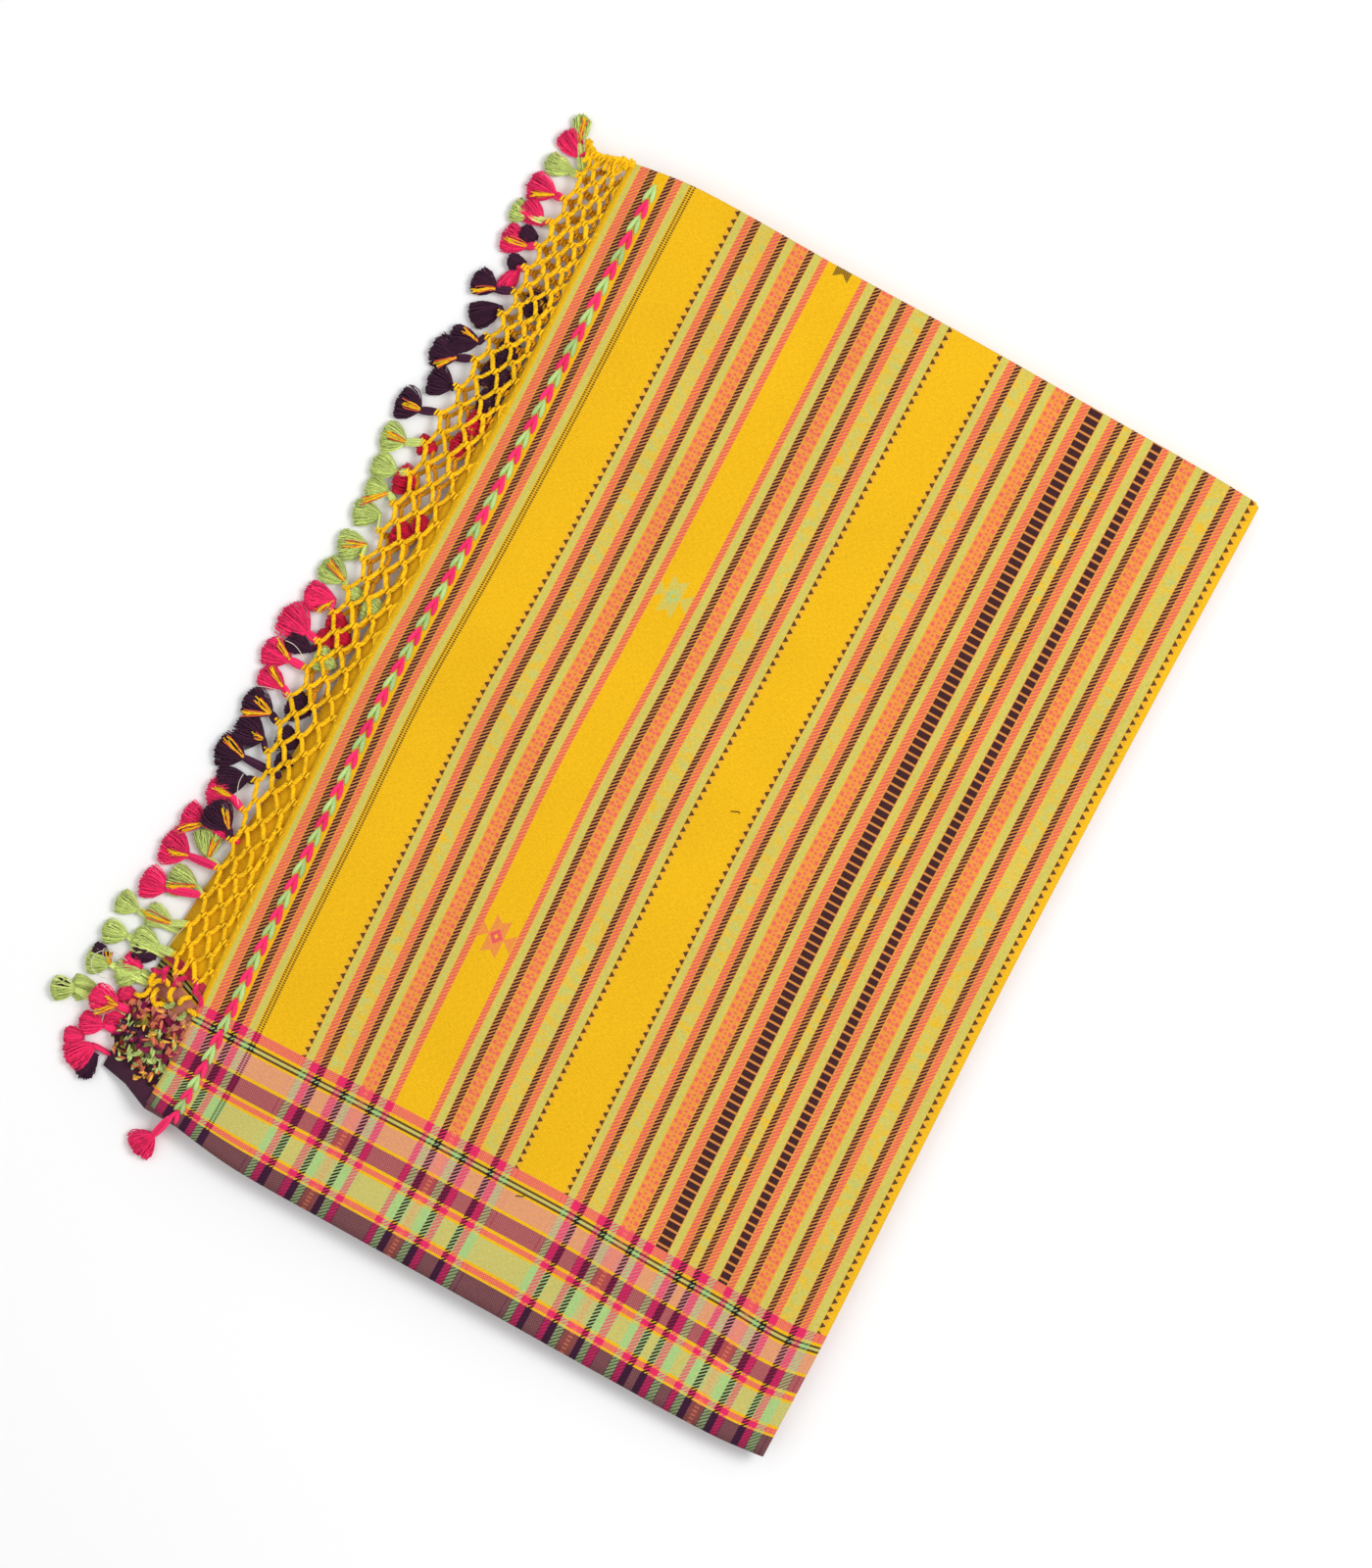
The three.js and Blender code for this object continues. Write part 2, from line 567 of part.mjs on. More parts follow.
// The raised line of leaf stitches: each leaf is wide at its root and narrow at its tip
function leafBraid() {
  const rings = [];
  const leaves = Math.floor((HALF_WIDTH - 6) / LEAF_LENGTH);
  for (let leaf = 0; leaf < leaves; leaf++) {
    for (const end of [{ at: 0.05, width: BRAID_WIDTH }, { at: 0.95, width: BRAID_NARROW }]) {
      const across = 4 + (leaf + end.at) * LEAF_LENGTH;
      const section = [-1, 1, 1, -1].map((side, corner) => {
        const place = clothPlace(BRAID_PLACE + side * end.width / 2, across);
        const lift = corner < 2 ? 0 : BRAID_THICK;
        const floor = TOP_LEVEL + WALL / 2 + GAP - sink(place.x, TOP_SLOPE) + ripple(place.x, place.y);
        return new THREE.Vector3(place.x, place.y, floor + lift);
      });
      rings.push(section.reverse());
    }
  }
  return solidThroughRings(rings);
}

// Joins closed geometries into one solid
function manifoldOf(geometry) {
  const bare = geometry.clone();
  bare.deleteAttribute('normal');
  bare.deleteAttribute('uv');
  const merged = mergeVertices(bare, 1e-4);
  return new wasm.Manifold(new wasm.Mesh({
    numProp: 3,
    vertProperties: new Float32Array(merged.getAttribute('position').array),
    triVerts: new Uint32Array(merged.getIndex().array),
  }));
}

function geometryFrom(manifold) {
  const mesh = manifold.getMesh();
  const geometry = new THREE.BufferGeometry();
  geometry.setAttribute('position', new THREE.BufferAttribute(new Float32Array(mesh.vertProperties), 3));
  geometry.setIndex(Array.from(mesh.triVerts));
  return geometry;
}

// One lock of threads: a three-sided wedge from the bead to its own tip
function lockSolid(head, angle, length, tipHalfWidth) {
  const forward = new THREE.Vector3(Math.cos(angle), Math.sin(angle), 0);
  const side = new THREE.Vector3(-forward.y, forward.x, 0);
  const bottom = head.z - BEAD_RADIUS + 0.1;
  const ring = (reach, halfWidth, height) => {
    const middle = new THREE.Vector3(head.x, head.y, bottom).addScaledVector(forward, reach);
    return [
      middle.clone().addScaledVector(side, -halfWidth),
      middle.clone().addScaledVector(side, halfWidth),
      middle.clone().add(new THREE.Vector3(0, 0, height)),
    ];
  };
  const rings = [ring(0.4, LOCK_ROOT, LOCK_HEIGHT * 0.8), ring(length, tipHalfWidth, LOCK_HEIGHT)];
  return solidThroughRings(rings);
}

function neckSolid(from, to) {
  const run = new THREE.Vector3().subVectors(to, from);
  const geometry = new THREE.CylinderGeometry(NECK_RADIUS, NECK_START, run.length(), 4);
  const turn = new THREE.Quaternion().setFromUnitVectors(new THREE.Vector3(0, 1, 0), run.clone().normalize());
  geometry.applyQuaternion(turn);
  const middle = new THREE.Vector3().addVectors(from, to).multiplyScalar(0.5);
  geometry.translate(middle.x, middle.y, middle.z);
  return geometry;
}

// A tassel: a bead, a neck that reaches to its net, and locks that fan out and stand apart
function tasselGeometry(tassel, level, root) {
  const heading = THREE.MathUtils.degToRad(tassel.points);
  const head = headOf(tassel, levelHeight(level));
  const count = tassel.width > 12 ? 4 : 3;
  const spread = Math.atan2(tassel.width * 0.42, tassel.length) * 2;
  const tipHalfWidth = tassel.width / count * 0.36;
  const bead = new THREE.OctahedronGeometry(BEAD_RADIUS);
  bead.translate(head.x, head.y, head.z);
  let solid = manifoldOf(bead);
  for (let i = 0; i < count; i++) {
    const angle = heading + spread * (i / (count - 1) - 0.5);
    const length = tassel.length * (0.93 + 0.07 * Math.sin(i * 2.4 + tassel.y));
    solid = solid.add(manifoldOf(lockSolid(head, angle, length, tipHalfWidth)));
  }
  if (root) solid = solid.add(manifoldOf(neckSolid(root, head)));
  return geometryFrom(solid);
}

function levelHeight(level) {
  return FLOOR_CLEARANCE + BEAD_RADIUS + level * LEVEL_HEIGHT;
}

function headOf(tassel, z) {
  const heading = THREE.MathUtils.degToRad(tassel.points);
  return new THREE.Vector3(
    tassel.x - Math.cos(heading) * tassel.length / 2, tassel.y - Math.sin(heading) * tassel.length / 2, z);
}

// The ground that a tassel's skirt covers, for laying one on another, and that of a neck on the table
function footprints(tassel) {
  const heading = THREE.MathUtils.degToRad(tassel.points);
  const head = headOf(tassel, 0);
  const corner = (reach, side) => new THREE.Vector2(
    head.x + Math.cos(heading) * reach - Math.sin(heading) * side,
    head.y + Math.sin(heading) * reach + Math.cos(heading) * side);
  const half = tassel.width / 2;
  const behind = -BEAD_RADIUS - 0.4;
  const skirt = [
    corner(behind, -BEAD_RADIUS), corner(tassel.length * 0.9, -half), corner(tassel.length + 0.4, 0),
    corner(tassel.length * 0.9, half), corner(behind, BEAD_RADIUS),
  ];
  const root = rootOf(tassel);
  if (tassel.layer !== 'under' || !root) return [skirt];
  const side = new THREE.Vector2(head.y - root.y, root.x - head.x).normalize().multiplyScalar(NECK_RADIUS);
  const neck = [
    new THREE.Vector2(root.x, root.y).add(side), new THREE.Vector2(head.x, head.y).add(side),
    new THREE.Vector2(head.x, head.y).sub(side), new THREE.Vector2(root.x, root.y).sub(side),
  ];
  return [skirt, neck];
}

function footprintsMeet(a, b) {
  const apart = (from, other) => from.some((p, i) => {
    const next = from[(i + 1) % from.length];
    const normal = new THREE.Vector2(next.y - p.y, p.x - next.x).normalize();
    return other.every((q) => q.clone().sub(p).dot(normal) > GAP);
  });
  return !apart(a, b) && !apart(b, a);
}

// Each tassel lies on the table, or on those laid before it where they are in its way
function layTassels() {
  const laid = [];
  const order = [...TASSELS].sort((a, b) => (a.layer === b.layer ? 0 : a.layer === 'under' ? -1 : 1));
  for (const tassel of order) {
    const ground = footprints(tassel);
    const inTheWay = (other) => ground.some((a) => other.ground.some((b) => footprintsMeet(a, b)));
    const taken = laid.filter(inTheWay).map((other) => other.level);
    let level = 0;
    while (taken.includes(level)) level += 1;
    laid.push({ tassel, ground, level });
  }
  return TASSELS.map((tassel) => laid.find((entry) => entry.tassel === tassel));
}

// Where a tassel's neck starts: just past the nearest outer knot of its net, or past the woven edge
function rootOf(tassel) {
  const head = headOf(tassel, 0);
  const top = tassel.layer === 'top';
  const nearest = (knots) => knots.reduce(
    (best, next) => (Math.abs(next.y - head.y) < Math.abs(best.y - head.y) ? next : best));
  const all = Array.from({ length: KNOTS }, (_, k) => k);
  let start;
  if (top) {
    const tip = nearest(all.map((k) => netTip(topKnot(4, k))));
    start = new THREE.Vector3(tip.x, tip.y, topNetHeight(tip.x) + NET_THICK / 2);
  } else if (head.y > UNDER_NET_LOWEST) {
    const tip = nearest(all.slice(0, UNDER_KNOTS).map((k) => underKnot(2, k)));
    start = new THREE.Vector3(tip.x, tip.y, underNetHeight(tip.x, tip.y) + NET_THICK / 2);
  } else {
    const edge = edgeThrough(UNDER_EDGE_POINTS, head.y);
    start = new THREE.Vector3(edge, head.y, UNDER_LEVEL - sink(edge, UNDER_SLOPE));
  }
  start.x -= NECK_GAP;
  start.y += THREE.MathUtils.clamp((head.y - start.y) / 2, -NECK_SHIFT, NECK_SHIFT);
  return Math.hypot(head.x - start.x, head.y - start.y) > NECK_SHORTEST ? start : null;
}

function pieceOf(name, geometry, colour, roughness = 0.9) {
  const material = new THREE.MeshStandardMaterial({ color: colour, roughness, metalness: 0 });
  const mesh = new THREE.Mesh(geometry, material);
  mesh.name = name;
  return mesh;
}

const saree = new THREE.Group();
saree.add(pieceOf('top_layer', topLayer(), YELLOW));
saree.add(pieceOf('under_layer', underLayer(), ORANGE_YELLOW));
saree.add(pieceOf('hidden_layers', hiddenLayers(), YELLOW));
saree.add(pieceOf('top_net', topNet(), YELLOW));
saree.add(pieceOf('under_net', underNet(), ORANGE_YELLOW));
saree.add(pieceOf('leaf_braid', leafBraid(), TASSEL_COLOURS.pink));

layTassels().forEach(({ tassel, level }, i) => {
  const name = `tassel_${String(i + 1).padStart(2, '0')}`;
  saree.add(pieceOf(name, tasselGeometry(tassel, level, rootOf(tassel)), TASSEL_COLOURS[tassel.colour]));
});
const lastRoot = new THREE.Vector3(SELVEDGE_TASSEL_ROOT.x, SELVEDGE_TASSEL_ROOT.y, SELVEDGE_TASSEL_ROOT.z);
saree.add(pieceOf('selvedge_tassel', tasselGeometry(SELVEDGE_TASSEL, 0, lastRoot), TASSEL_COLOURS.pink));

// The origin goes under the middle of the whole
const extent = new THREE.Box3().setFromObject(saree);
const centre = extent.getCenter(new THREE.Vector3());
saree.position.set(-centre.x, -centre.y, -extent.min.z);

export default saree;
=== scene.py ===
# %% [markdown]
# # A folded handwoven saree
# The real object is one uncut length of striped cotton, folded until it fits a shelf. Its end lies on top,
# knotted into a net and finished with yarn tassels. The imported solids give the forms, and this notebook
# dresses them: the cloth gets its weave, the nets get their cords and the tassels their threads.

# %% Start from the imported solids
import math

import bmesh
import bpy
import numpy as np
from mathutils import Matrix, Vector


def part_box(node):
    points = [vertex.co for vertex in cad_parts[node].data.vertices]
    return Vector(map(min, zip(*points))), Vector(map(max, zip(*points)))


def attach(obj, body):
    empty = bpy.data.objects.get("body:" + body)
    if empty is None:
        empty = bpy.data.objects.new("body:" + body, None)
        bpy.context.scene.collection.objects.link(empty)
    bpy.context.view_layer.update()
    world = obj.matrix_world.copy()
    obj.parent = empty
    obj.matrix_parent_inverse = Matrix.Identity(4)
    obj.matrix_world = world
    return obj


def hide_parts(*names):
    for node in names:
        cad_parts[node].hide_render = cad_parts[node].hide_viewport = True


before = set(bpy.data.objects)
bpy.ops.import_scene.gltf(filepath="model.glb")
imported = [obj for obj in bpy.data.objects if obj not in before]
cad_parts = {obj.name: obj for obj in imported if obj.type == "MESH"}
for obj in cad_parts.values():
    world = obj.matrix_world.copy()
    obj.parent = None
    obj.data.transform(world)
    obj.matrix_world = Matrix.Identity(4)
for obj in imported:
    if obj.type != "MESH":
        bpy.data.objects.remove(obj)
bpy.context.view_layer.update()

scene = bpy.context.scene
print("solids in the frame:", len(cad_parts))

# %% [markdown]
# ## Sizes
# The tables are in millimetres from the corner where the selvedge meets the right fold: X runs along the
# cloth and is negative towards the knotted end, Y runs across it from the selvedges to the fold at the top.
# One function turns such points into the scene's metres.

# %% Sizes and places
MM = 0.001
TAU = math.tau
CORNER = np.array([0.224345, -0.290383, 0.0])
VISIBLE_LENGTH = 381
HALF_WIDTH = 580
SHEET_THICK = 1.0
RIPPLE = 0.9
UNDER_LEVEL = 14.5
TOP_LEVEL = 16.0
RIGHT_FOLD = {"radius": 2.4, "drop": 1.2}
TOP_FOLD = {"radius": 1.4, "drop": 0.4}
FOLD_REACH = 1
DROP_START = -370
DROP_SOFTNESS = 4
TOP_SLOPE = 0.3
UNDER_SLOPE = 0.42


def metres(points):
    """Millimetres from the corner of the cloth, as metres in the frame of the solids."""
    return np.asarray(points, float) * MM + CORNER


print("corner of the cloth in the frame:", CORNER.tolist())

# %% [markdown]
# ## Camera
# The saree was photographed from straight above and a little turned, so the camera hangs over its middle
# and looks down. It is far away, which keeps the long edges straight.

# %% Camera
VIEW_CENTRE = (-200.5, 299.9, 16)
VIEW_HEIGHT = 840
CAMERA_HEIGHT = 2400
CLOTH_TURN = math.radians(27.5)

camera = bpy.data.objects.new("camera", bpy.data.cameras.new("camera"))
scene.collection.objects.link(camera)
scene.camera = camera
camera.data.sensor_fit = "VERTICAL"
camera.data.lens = camera.data.sensor_height * CAMERA_HEIGHT / VIEW_HEIGHT
camera.location = metres(VIEW_CENTRE) + np.array([0, 0, CAMERA_HEIGHT * MM])
camera.rotation_euler = (0, 0, CLOTH_TURN)
camera.data.clip_end = 20
print("lens in mm:", round(camera.data.lens, 1))

# %% [markdown]
# ## Floor and light
# A photographer lays such cloth on white paper under large soft lamps. The world gives the even fill, one big
# area lamp from the upper right gives the cords and twills their small shadows.

# %% Floor, lamps and colour
FLOOR_SIZE = 8
floor_bm = bmesh.new()
bmesh.ops.create_grid(floor_bm, x_segments=1, y_segments=1, size=FLOOR_SIZE / 2)
floor_mesh = bpy.data.meshes.new("floor")
floor_bm.to_mesh(floor_mesh)
floor_bm.free()
floor = bpy.data.objects.new("floor", floor_mesh)
floor.location.z = -0.2 * MM
scene.collection.objects.link(floor)

paper = bpy.data.materials.new("white paper")
paper.use_nodes = True
paper.node_tree.nodes["Principled BSDF"].inputs["Base Color"].default_value = (0.92, 0.92, 0.92, 1)
paper.node_tree.nodes["Principled BSDF"].inputs["Roughness"].default_value = 0.9
floor_mesh.materials.append(paper)

world = bpy.data.worlds.new("soft room")
scene.world = world
world.use_nodes = True
world.node_tree.nodes["Background"].inputs["Color"].default_value = (1, 1, 1, 1)
world.node_tree.nodes["Background"].inputs["Strength"].default_value = 0.62

LAMPS = [
    {"name": "key", "at": (0.9, 0.7, 1.9), "size": 0.9, "power": 27},
    {"name": "fill", "at": (-1.2, -0.4, 1.8), "size": 2.0, "power": 7},
]
for lamp in LAMPS:
    light = bpy.data.lights.new(lamp["name"], "AREA")
    light.size = lamp["size"]
    light.energy = lamp["power"]
    holder = bpy.data.objects.new(lamp["name"], light)
    holder.location = lamp["at"]
    holder.rotation_euler = (-Vector(lamp["at"])).to_track_quat("-Z", "Y").to_euler()
    scene.collection.objects.link(holder)
scene.view_settings.view_transform = "Standard"
print("lamps:", [lamp["name"] for lamp in LAMPS])

# %% [markdown]
# ## Yarn colours
# Most colours of the cloth come from two yarns crossing: pink weft over yellow warp looks coral, mint over
# yellow looks lime. So the yarns are listed, with some faded or mixed ones for the border and its knots.

# %% Yarn colours
YARNS = {
    "yellow": (231, 178, 14),
    "straw": (228, 170, 66),
    "amber": (228, 170, 40),
    "green": (164, 196, 122),
    "pink": (224, 40, 96),
    "dark": (46, 14, 30),
    "black": (24, 18, 24),
    "maroon": (132, 23, 68),
    "peach": (208, 132, 128),
    "beige": (212, 136, 68),
    "plum": (62, 22, 56),
    "pale": (222, 150, 120),
    "purple": (66, 28, 54),
    "mint": (204, 220, 124),
    "olive": (140, 126, 44),
    "rose": (250, 48, 110),
    # The next yarn is the pink of the tassels under the net, darkened to paint the shade they lie in.
    "pink_in_painted_shade": (214, 24, 62),
    "coral": (232, 96, 66),
    "golden": (255, 200, 16),
    # The next yarn is the golden cord yarn darkened to paint the shade on the lower net.
    "shaded": (226, 158, 20),
    "white": (232, 226, 206),
    "leaf": (178, 208, 130),
    "umber": (150, 96, 52),
    "salmon": (240, 134, 84),
    "rust": (204, 110, 78),
    "dusty": (196, 124, 104),
    "sage": (172, 188, 110),
}
COVER = {"plum": 0.4, "black": 0.3, "maroon": 0.66, "pink": 0.85}


def linear(name, alpha=1.0):
    """A yarn's colour as the renderer counts it."""
    parts = [c / 255 for c in YARNS[name]]
    return tuple(c / 12.92 if c <= 0.04045 else ((c + 0.055) / 1.055) ** 2.4 for c in parts) + (alpha,)


print("yarns:", ", ".join(YARNS))

# %% [markdown]
# ## Shader arithmetic
# A weave is a formula of two lengths, so it reads best as one. The small class below wraps a socket and lets
# Python's own signs add the Math nodes. Every other node comes from one method of the recipe.

# %% Shader arithmetic
def plug(slot, value):
    """Links a wire to a socket, or sets the socket's own value."""
    if isinstance(value, Wire):
        slot.id_data.links.new(value.socket, slot)
    else:
        slot.default_value = value


class Wire:
    """A value in a node tree that Python's operators work on."""

    def __init__(self, socket):
        self.socket = socket

    def math(self, operation, *others, first=None, clamp=False):
        node = self.socket.id_data.nodes.new("ShaderNodeMath")
        node.operation = operation
        node.use_clamp = clamp
        values = (self, *others) if first is None else (first, self, *others)
        for slot, value in zip(node.inputs, values):
            plug(slot, value)
        return Wire(node.outputs[0])

    def __add__(self, other):
        return self.math("ADD", other)

    def __sub__(self, other):
        return self.math("SUBTRACT", other)

    def __rsub__(self, other):
        return self.math("SUBTRACT", first=other)

    def __mul__(self, other):
        return self.math("MULTIPLY", other)

    def __truediv__(self, other):
        return self.math("DIVIDE", other)

    def __gt__(self, other):
        return self.math("GREATER_THAN", other)

    def __lt__(self, other):
        return self.math("LESS_THAN", other)

    __radd__ = __add__
    __rmul__ = __mul__

    def wave(self, period):
        """From -1 to 1 and back, once a period."""
        return (self * (TAU / period)).math("SINE")

    def phase(self, period):
        """From 0 to 1, once a period."""
        return (self / period).math("FRACT")

    def size(self):
        return self.math("ABSOLUTE")

    def clamped(self):
        return self.math("ADD", 0.0, clamp=True)

    def step(self, low, high):
        """0 below low, 1 above high and soft between."""
        return ((self - low) / (high - low)).clamped()


class Recipe:
    """A material and the nodes that make it."""

    def __init__(self, name, constants):
        self.material = bpy.data.materials.new(name)
        self.material.use_nodes = True
        self.nodes = self.material.node_tree.nodes
        self.surface = self.nodes["Principled BSDF"]
        for key, value in constants.items():
            self.surface.inputs[key].default_value = value

    def node(self, kind, settings=None, values=None, output=0):
        node = self.nodes.new(kind)
        for key, value in (settings or {}).items():
            setattr(node, key, value)
        for key, value in (values or {}).items():
            plug(node.inputs[key], value)
        return Wire(node.outputs[output])

    def split(self, vector):
        node = self.nodes.new("ShaderNodeSeparateXYZ")
        plug(node.inputs[0], vector)
        return [Wire(out) for out in node.outputs]

    def join(self, x, y, z=0.0):
        return self.node("ShaderNodeCombineXYZ", {}, {0: x, 1: y, 2: z})

    def noise(self, vector, scale, detail=2.0):
        return self.node("ShaderNodeTexNoise", {}, {"Vector": vector, "Scale": scale, "Detail": detail})

    def mix(self, factor, a, b):
        settings = {"data_type": "RGBA", "clamp_factor": True}
        return self.node("ShaderNodeMix", settings, {0: factor, 6: a, 7: b}, output=2)

    def shade(self, colour, value):
        return self.node("ShaderNodeHueSaturation", {}, {"Color": colour, "Value": value})

    def bump(self, height, depth, strength):
        values = {"Height": height, "Distance": depth, "Strength": strength}
        plug(self.surface.inputs["Normal"], self.node("ShaderNodeBump", {}, values))

    def colour(self, colour):
        plug(self.surface.inputs["Base Color"], colour)


print("shader arithmetic is ready")

# %% [markdown]
# ## How the cloth lies
# The warp wanders a little and the selvedge lifts towards the knotted end, where its dark band turns under.
# These short tables are the same as in the solids, so the dressed cloth follows them everywhere.

# %% Where the cloth lies
WANDER_AT_END = [
    (0, 2), (60, 4), (120, 2), (200, 0), (280, -2.5), (360, 0), (440, 1), (520, 0.6), (585, 0.4),
]
WANDER_AT_FOLD = [
    (0, 1.2), (60, 1.8), (120, 1.2), (200, 0.2), (280, -0.8), (360, -0.6), (440, 0), (520, 1.2), (585, 2.4)]
SELVEDGE = [(-381, 15), (-350, 9), (-320, 5), (-260, 3), (-180, 0.8), (-100, -1.7), (-30, -3), (4, -0.6)]
FOLD_AT_TOP = [
    (-381, 581.5), (-350, 585.2), (-320, 585.4), (-260, 583.3), (-180, 581.8), (-100, 579), (-30, 576.4),
    (4, 574),
]
BORDER_BASE = [
    (-381, 1), (-325, 0.8), (-260, 1.4), (-200, 1), (-150, 0.4), (-100, -1.8), (-60, -3), (-20, -5),
    (4, -1),
]
BORDER_TURN = 50


def follow(table, at):
    """Reads a smooth curve through a short table of places and values."""
    keys, values = np.array(table, float).T
    last = len(keys) - 1
    order = np.arange(last + 1)
    before = np.maximum(order - 1, 0)
    after = np.minimum(order + 1, last)
    slopes = (values[after] - values[before]) / (keys[after] - keys[before])
    at = np.clip(at, keys[0], keys[-1])
    i = np.clip(np.searchsorted(keys, at, side="right") - 1, 0, last - 1)
    span = keys[i + 1] - keys[i]
    t = (at - keys[i]) / span
    start = values[i] * (2 * t**3 - 3 * t**2 + 1) + slopes[i] * span * (t**3 - 2 * t**2 + t)
    return start + values[i + 1] * (3 * t**2 - 2 * t**3) + slopes[i + 1] * span * (t**3 - t**2)


def cloth_place(along, across, border=True):
    """Where a point of the cloth lies on the table, along and across being measured on the cloth."""
    selvedge = follow(SELVEDGE, along)
    top = follow(FOLD_AT_TOP, along)
    y = selvedge + (top - selvedge) * across / HALF_WIDTH
    near_end = np.clip(-along / VISIBLE_LENGTH, 0, 1)
    x = along + follow(WANDER_AT_FOLD, y) * (1 - near_end) + follow(WANDER_AT_END, y) * near_end
    if border:
        base = follow(BORDER_BASE, along)
        turned = np.clip(1 - across / BORDER_TURN, 0, 1) ** 2
        y = base + (top - base) * across / HALF_WIDTH + (selvedge - base) * turned
    return x, y


def sink(x, slope):
    """How far the cloth has sunk at x, past the edge of the layers below."""
    return np.hypot(slope * np.maximum(0, DROP_START - x), DROP_SOFTNESS) - DROP_SOFTNESS


def ripple(x, y):
    fade = np.clip((x - DROP_START) / 40, 0, 1)
    fade = fade * fade * (3 - 2 * fade)
    return RIPPLE * fade * (0.5 + 0.5 * np.sin(x / 37 + y / 91) * np.cos(y / 53))


def fold_curve(used, fold):
    """A turn of 90 degrees and a straight drop: how far out and how far down."""
    angle = np.clip(used / fold["radius"], 0, math.pi / 2)
    straight = np.maximum(0, used - fold["radius"] * math.pi / 2)
    out = np.where(used <= 0, used, fold["radius"] * np.sin(angle))
    return out, fold["radius"] * (1 - np.cos(angle)) + straight


def fold_stations(fold, steps=5):
    quarter = fold["radius"] * math.pi / 2
    return [quarter * k / steps for k in range(steps + 1)] + [quarter + fold["drop"]]


print("the cloth's end lies at x, y:", [round(float(v), 1) for v in cloth_place(-381.0, 300.0)])

# %% [markdown]
# ## Stripes and border
# Each row of the stripe table is one woven band, read off across the middle of the cloth: how it is woven
# and where it ends. The border runs the other way, along the selvedge, so its warp colours have a table of
# their own. Where a stripe crosses the border the two mix, which gives the plaid.

# %% Stripes and border
STRIPES = [
    (-380.2, "edge"), (-377.2, "green"), (-372.2, "coral"), (-367.8, "dark"), (-361.2, "plain"),
    (-357.3, "dark"), (-353.4, "coral"), (-349.4, "green"), (-345.4, "ladder"), (-321.5, "plain"),
    (-318.6, "dots"), (-314.4, "green"), (-310.2, "coral"), (-306.0, "dark"), (-297.8, "mottled"),
    (-293.3, "coral"), (-289.6, "dark"), (-285.3, "green"), (-277.0, "lattice"), (-273.4, "dark"),
    (-268.8, "green"), (-264.7, "coral"), (-244.5, "plain"), (-240.8, "coral"), (-236.3, "green"),
    (-232.4, "dark"), (-224.8, "lattice"), (-220.3, "green"), (-216.6, "dark"), (-212.3, "coral"),
    (-203.6, "mottled"), (-200.1, "dark"), (-196.0, "coral"), (-191.5, "green"), (-188.6, "dots_back"),
    (-161.4, "plain"), (-158.7, "dots"), (-154.6, "green"), (-150.3, "coral"), (-146.8, "dark"),
    (-138.6, "mottled"), (-134.6, "coral"), (-130.8, "dark"), (-126.2, "green"), (-117.3, "lattice"),
    (-113.8, "dark"), (-109.6, "green"), (-104.7, "coral"), (-96.5, "blocks"), (-92.1, "green"),
    (-87.9, "coral"), (-84.0, "dark"), (-79.0, "mottled"), (-75.3, "dark"), (-70.8, "coral"),
    (-66.1, "green"), (-59.9, "blocks"), (-56.0, "coral"), (-51.5, "green"), (-47.6, "dark"),
    (-39.6, "lattice"), (-35.1, "green"), (-31.3, "dark"), (-27.3, "coral"), (-18.6, "mottled"),
    (-14.9, "dark"), (-10.6, "coral"), (-5.4, "green"), (-2.4, "dots_back"),
]
BORDER = [
    (12.2, "plum"), (13.6, "yellow"), (17.0, "pink"), (18.6, "yellow"), (33.0, "green"),
    (34.5, "yellow"), (37.5, "pink"), (39.3, "yellow"), (49.3, "maroon"), (51.0, "yellow"),
    (62.2, "peach"), (63.5, "yellow"), (64.8, "black"), (66.3, "green"), (67.5, "black"),
    (69.2, "yellow"), (74.5, "pink"),
]
BORDER_TOP = BORDER[-1][0]
WEAVES = {
    "plain": ("yellow", 0), "edge": ("yellow", 0), "green": ("green", 1), "coral": ("pink", 2),
    "dark": ("dark", 9), "blocks": ("dark", 3), "dots": ("dark", 4), "dots_back": ("dark", 8),
    "lattice": ("pink", 5), "ladder": ("dark", 6), "mottled": ("green", 7),
    "checked": ("umber", 0), "green_twill": ("green", 10), "dashes": ("salmon", 11),
    "check": ("yellow", 12),
}
GROUNDS = {"dark": "beige", "blocks": "beige", "dots": "amber", "dots_back": "amber"}
BORDER_WEAVES = {
    "plain": "check", "blocks": "check", "dots": "check", "dots_back": "check", "mottled": "check",
    "green": "green_twill", "lattice": "dashes"}
READ_OFF_AT = 300
WIDEST_STEP = 7
FIELD_STEP = 9


def on_cloth(x):
    """The place along the cloth of a stripe that was read off at x."""
    at_fold = float(follow(WANDER_AT_FOLD, READ_OFF_AT))
    at_end = float(follow(WANDER_AT_END, READ_OFF_AT))
    return (x - at_fold) / (1 - (at_end - at_fold) / VISIBLE_LENGTH)


def divided(start, edges, step):
    """Grid lines at start and every edge, and between them where they are far apart."""
    lines = [start]
    for edge in edges:
        parts = max(1, math.ceil((edge - lines[-1]) / step))
        first = lines[-1]
        lines += [first + (edge - first) * k / parts for k in range(1, parts + 1)]
    return lines


print("stripes:", len(STRIPES), "border rows:", len(BORDER))

# %% [markdown]
# ## A woven sheet
# The sheet starts as a flat grid whose lines fall on the edges of the stripes. Each face then knows its own
# warp and weft yarn, which keeps every stripe crisp and lets the pattern follow the cloth over its folds.
# An image would do this too, but yarns given face by face stay sharp at any size.

# %% A woven sheet
def band_of(value, edges):
    return int(np.searchsorted(edges, value, side="right"))


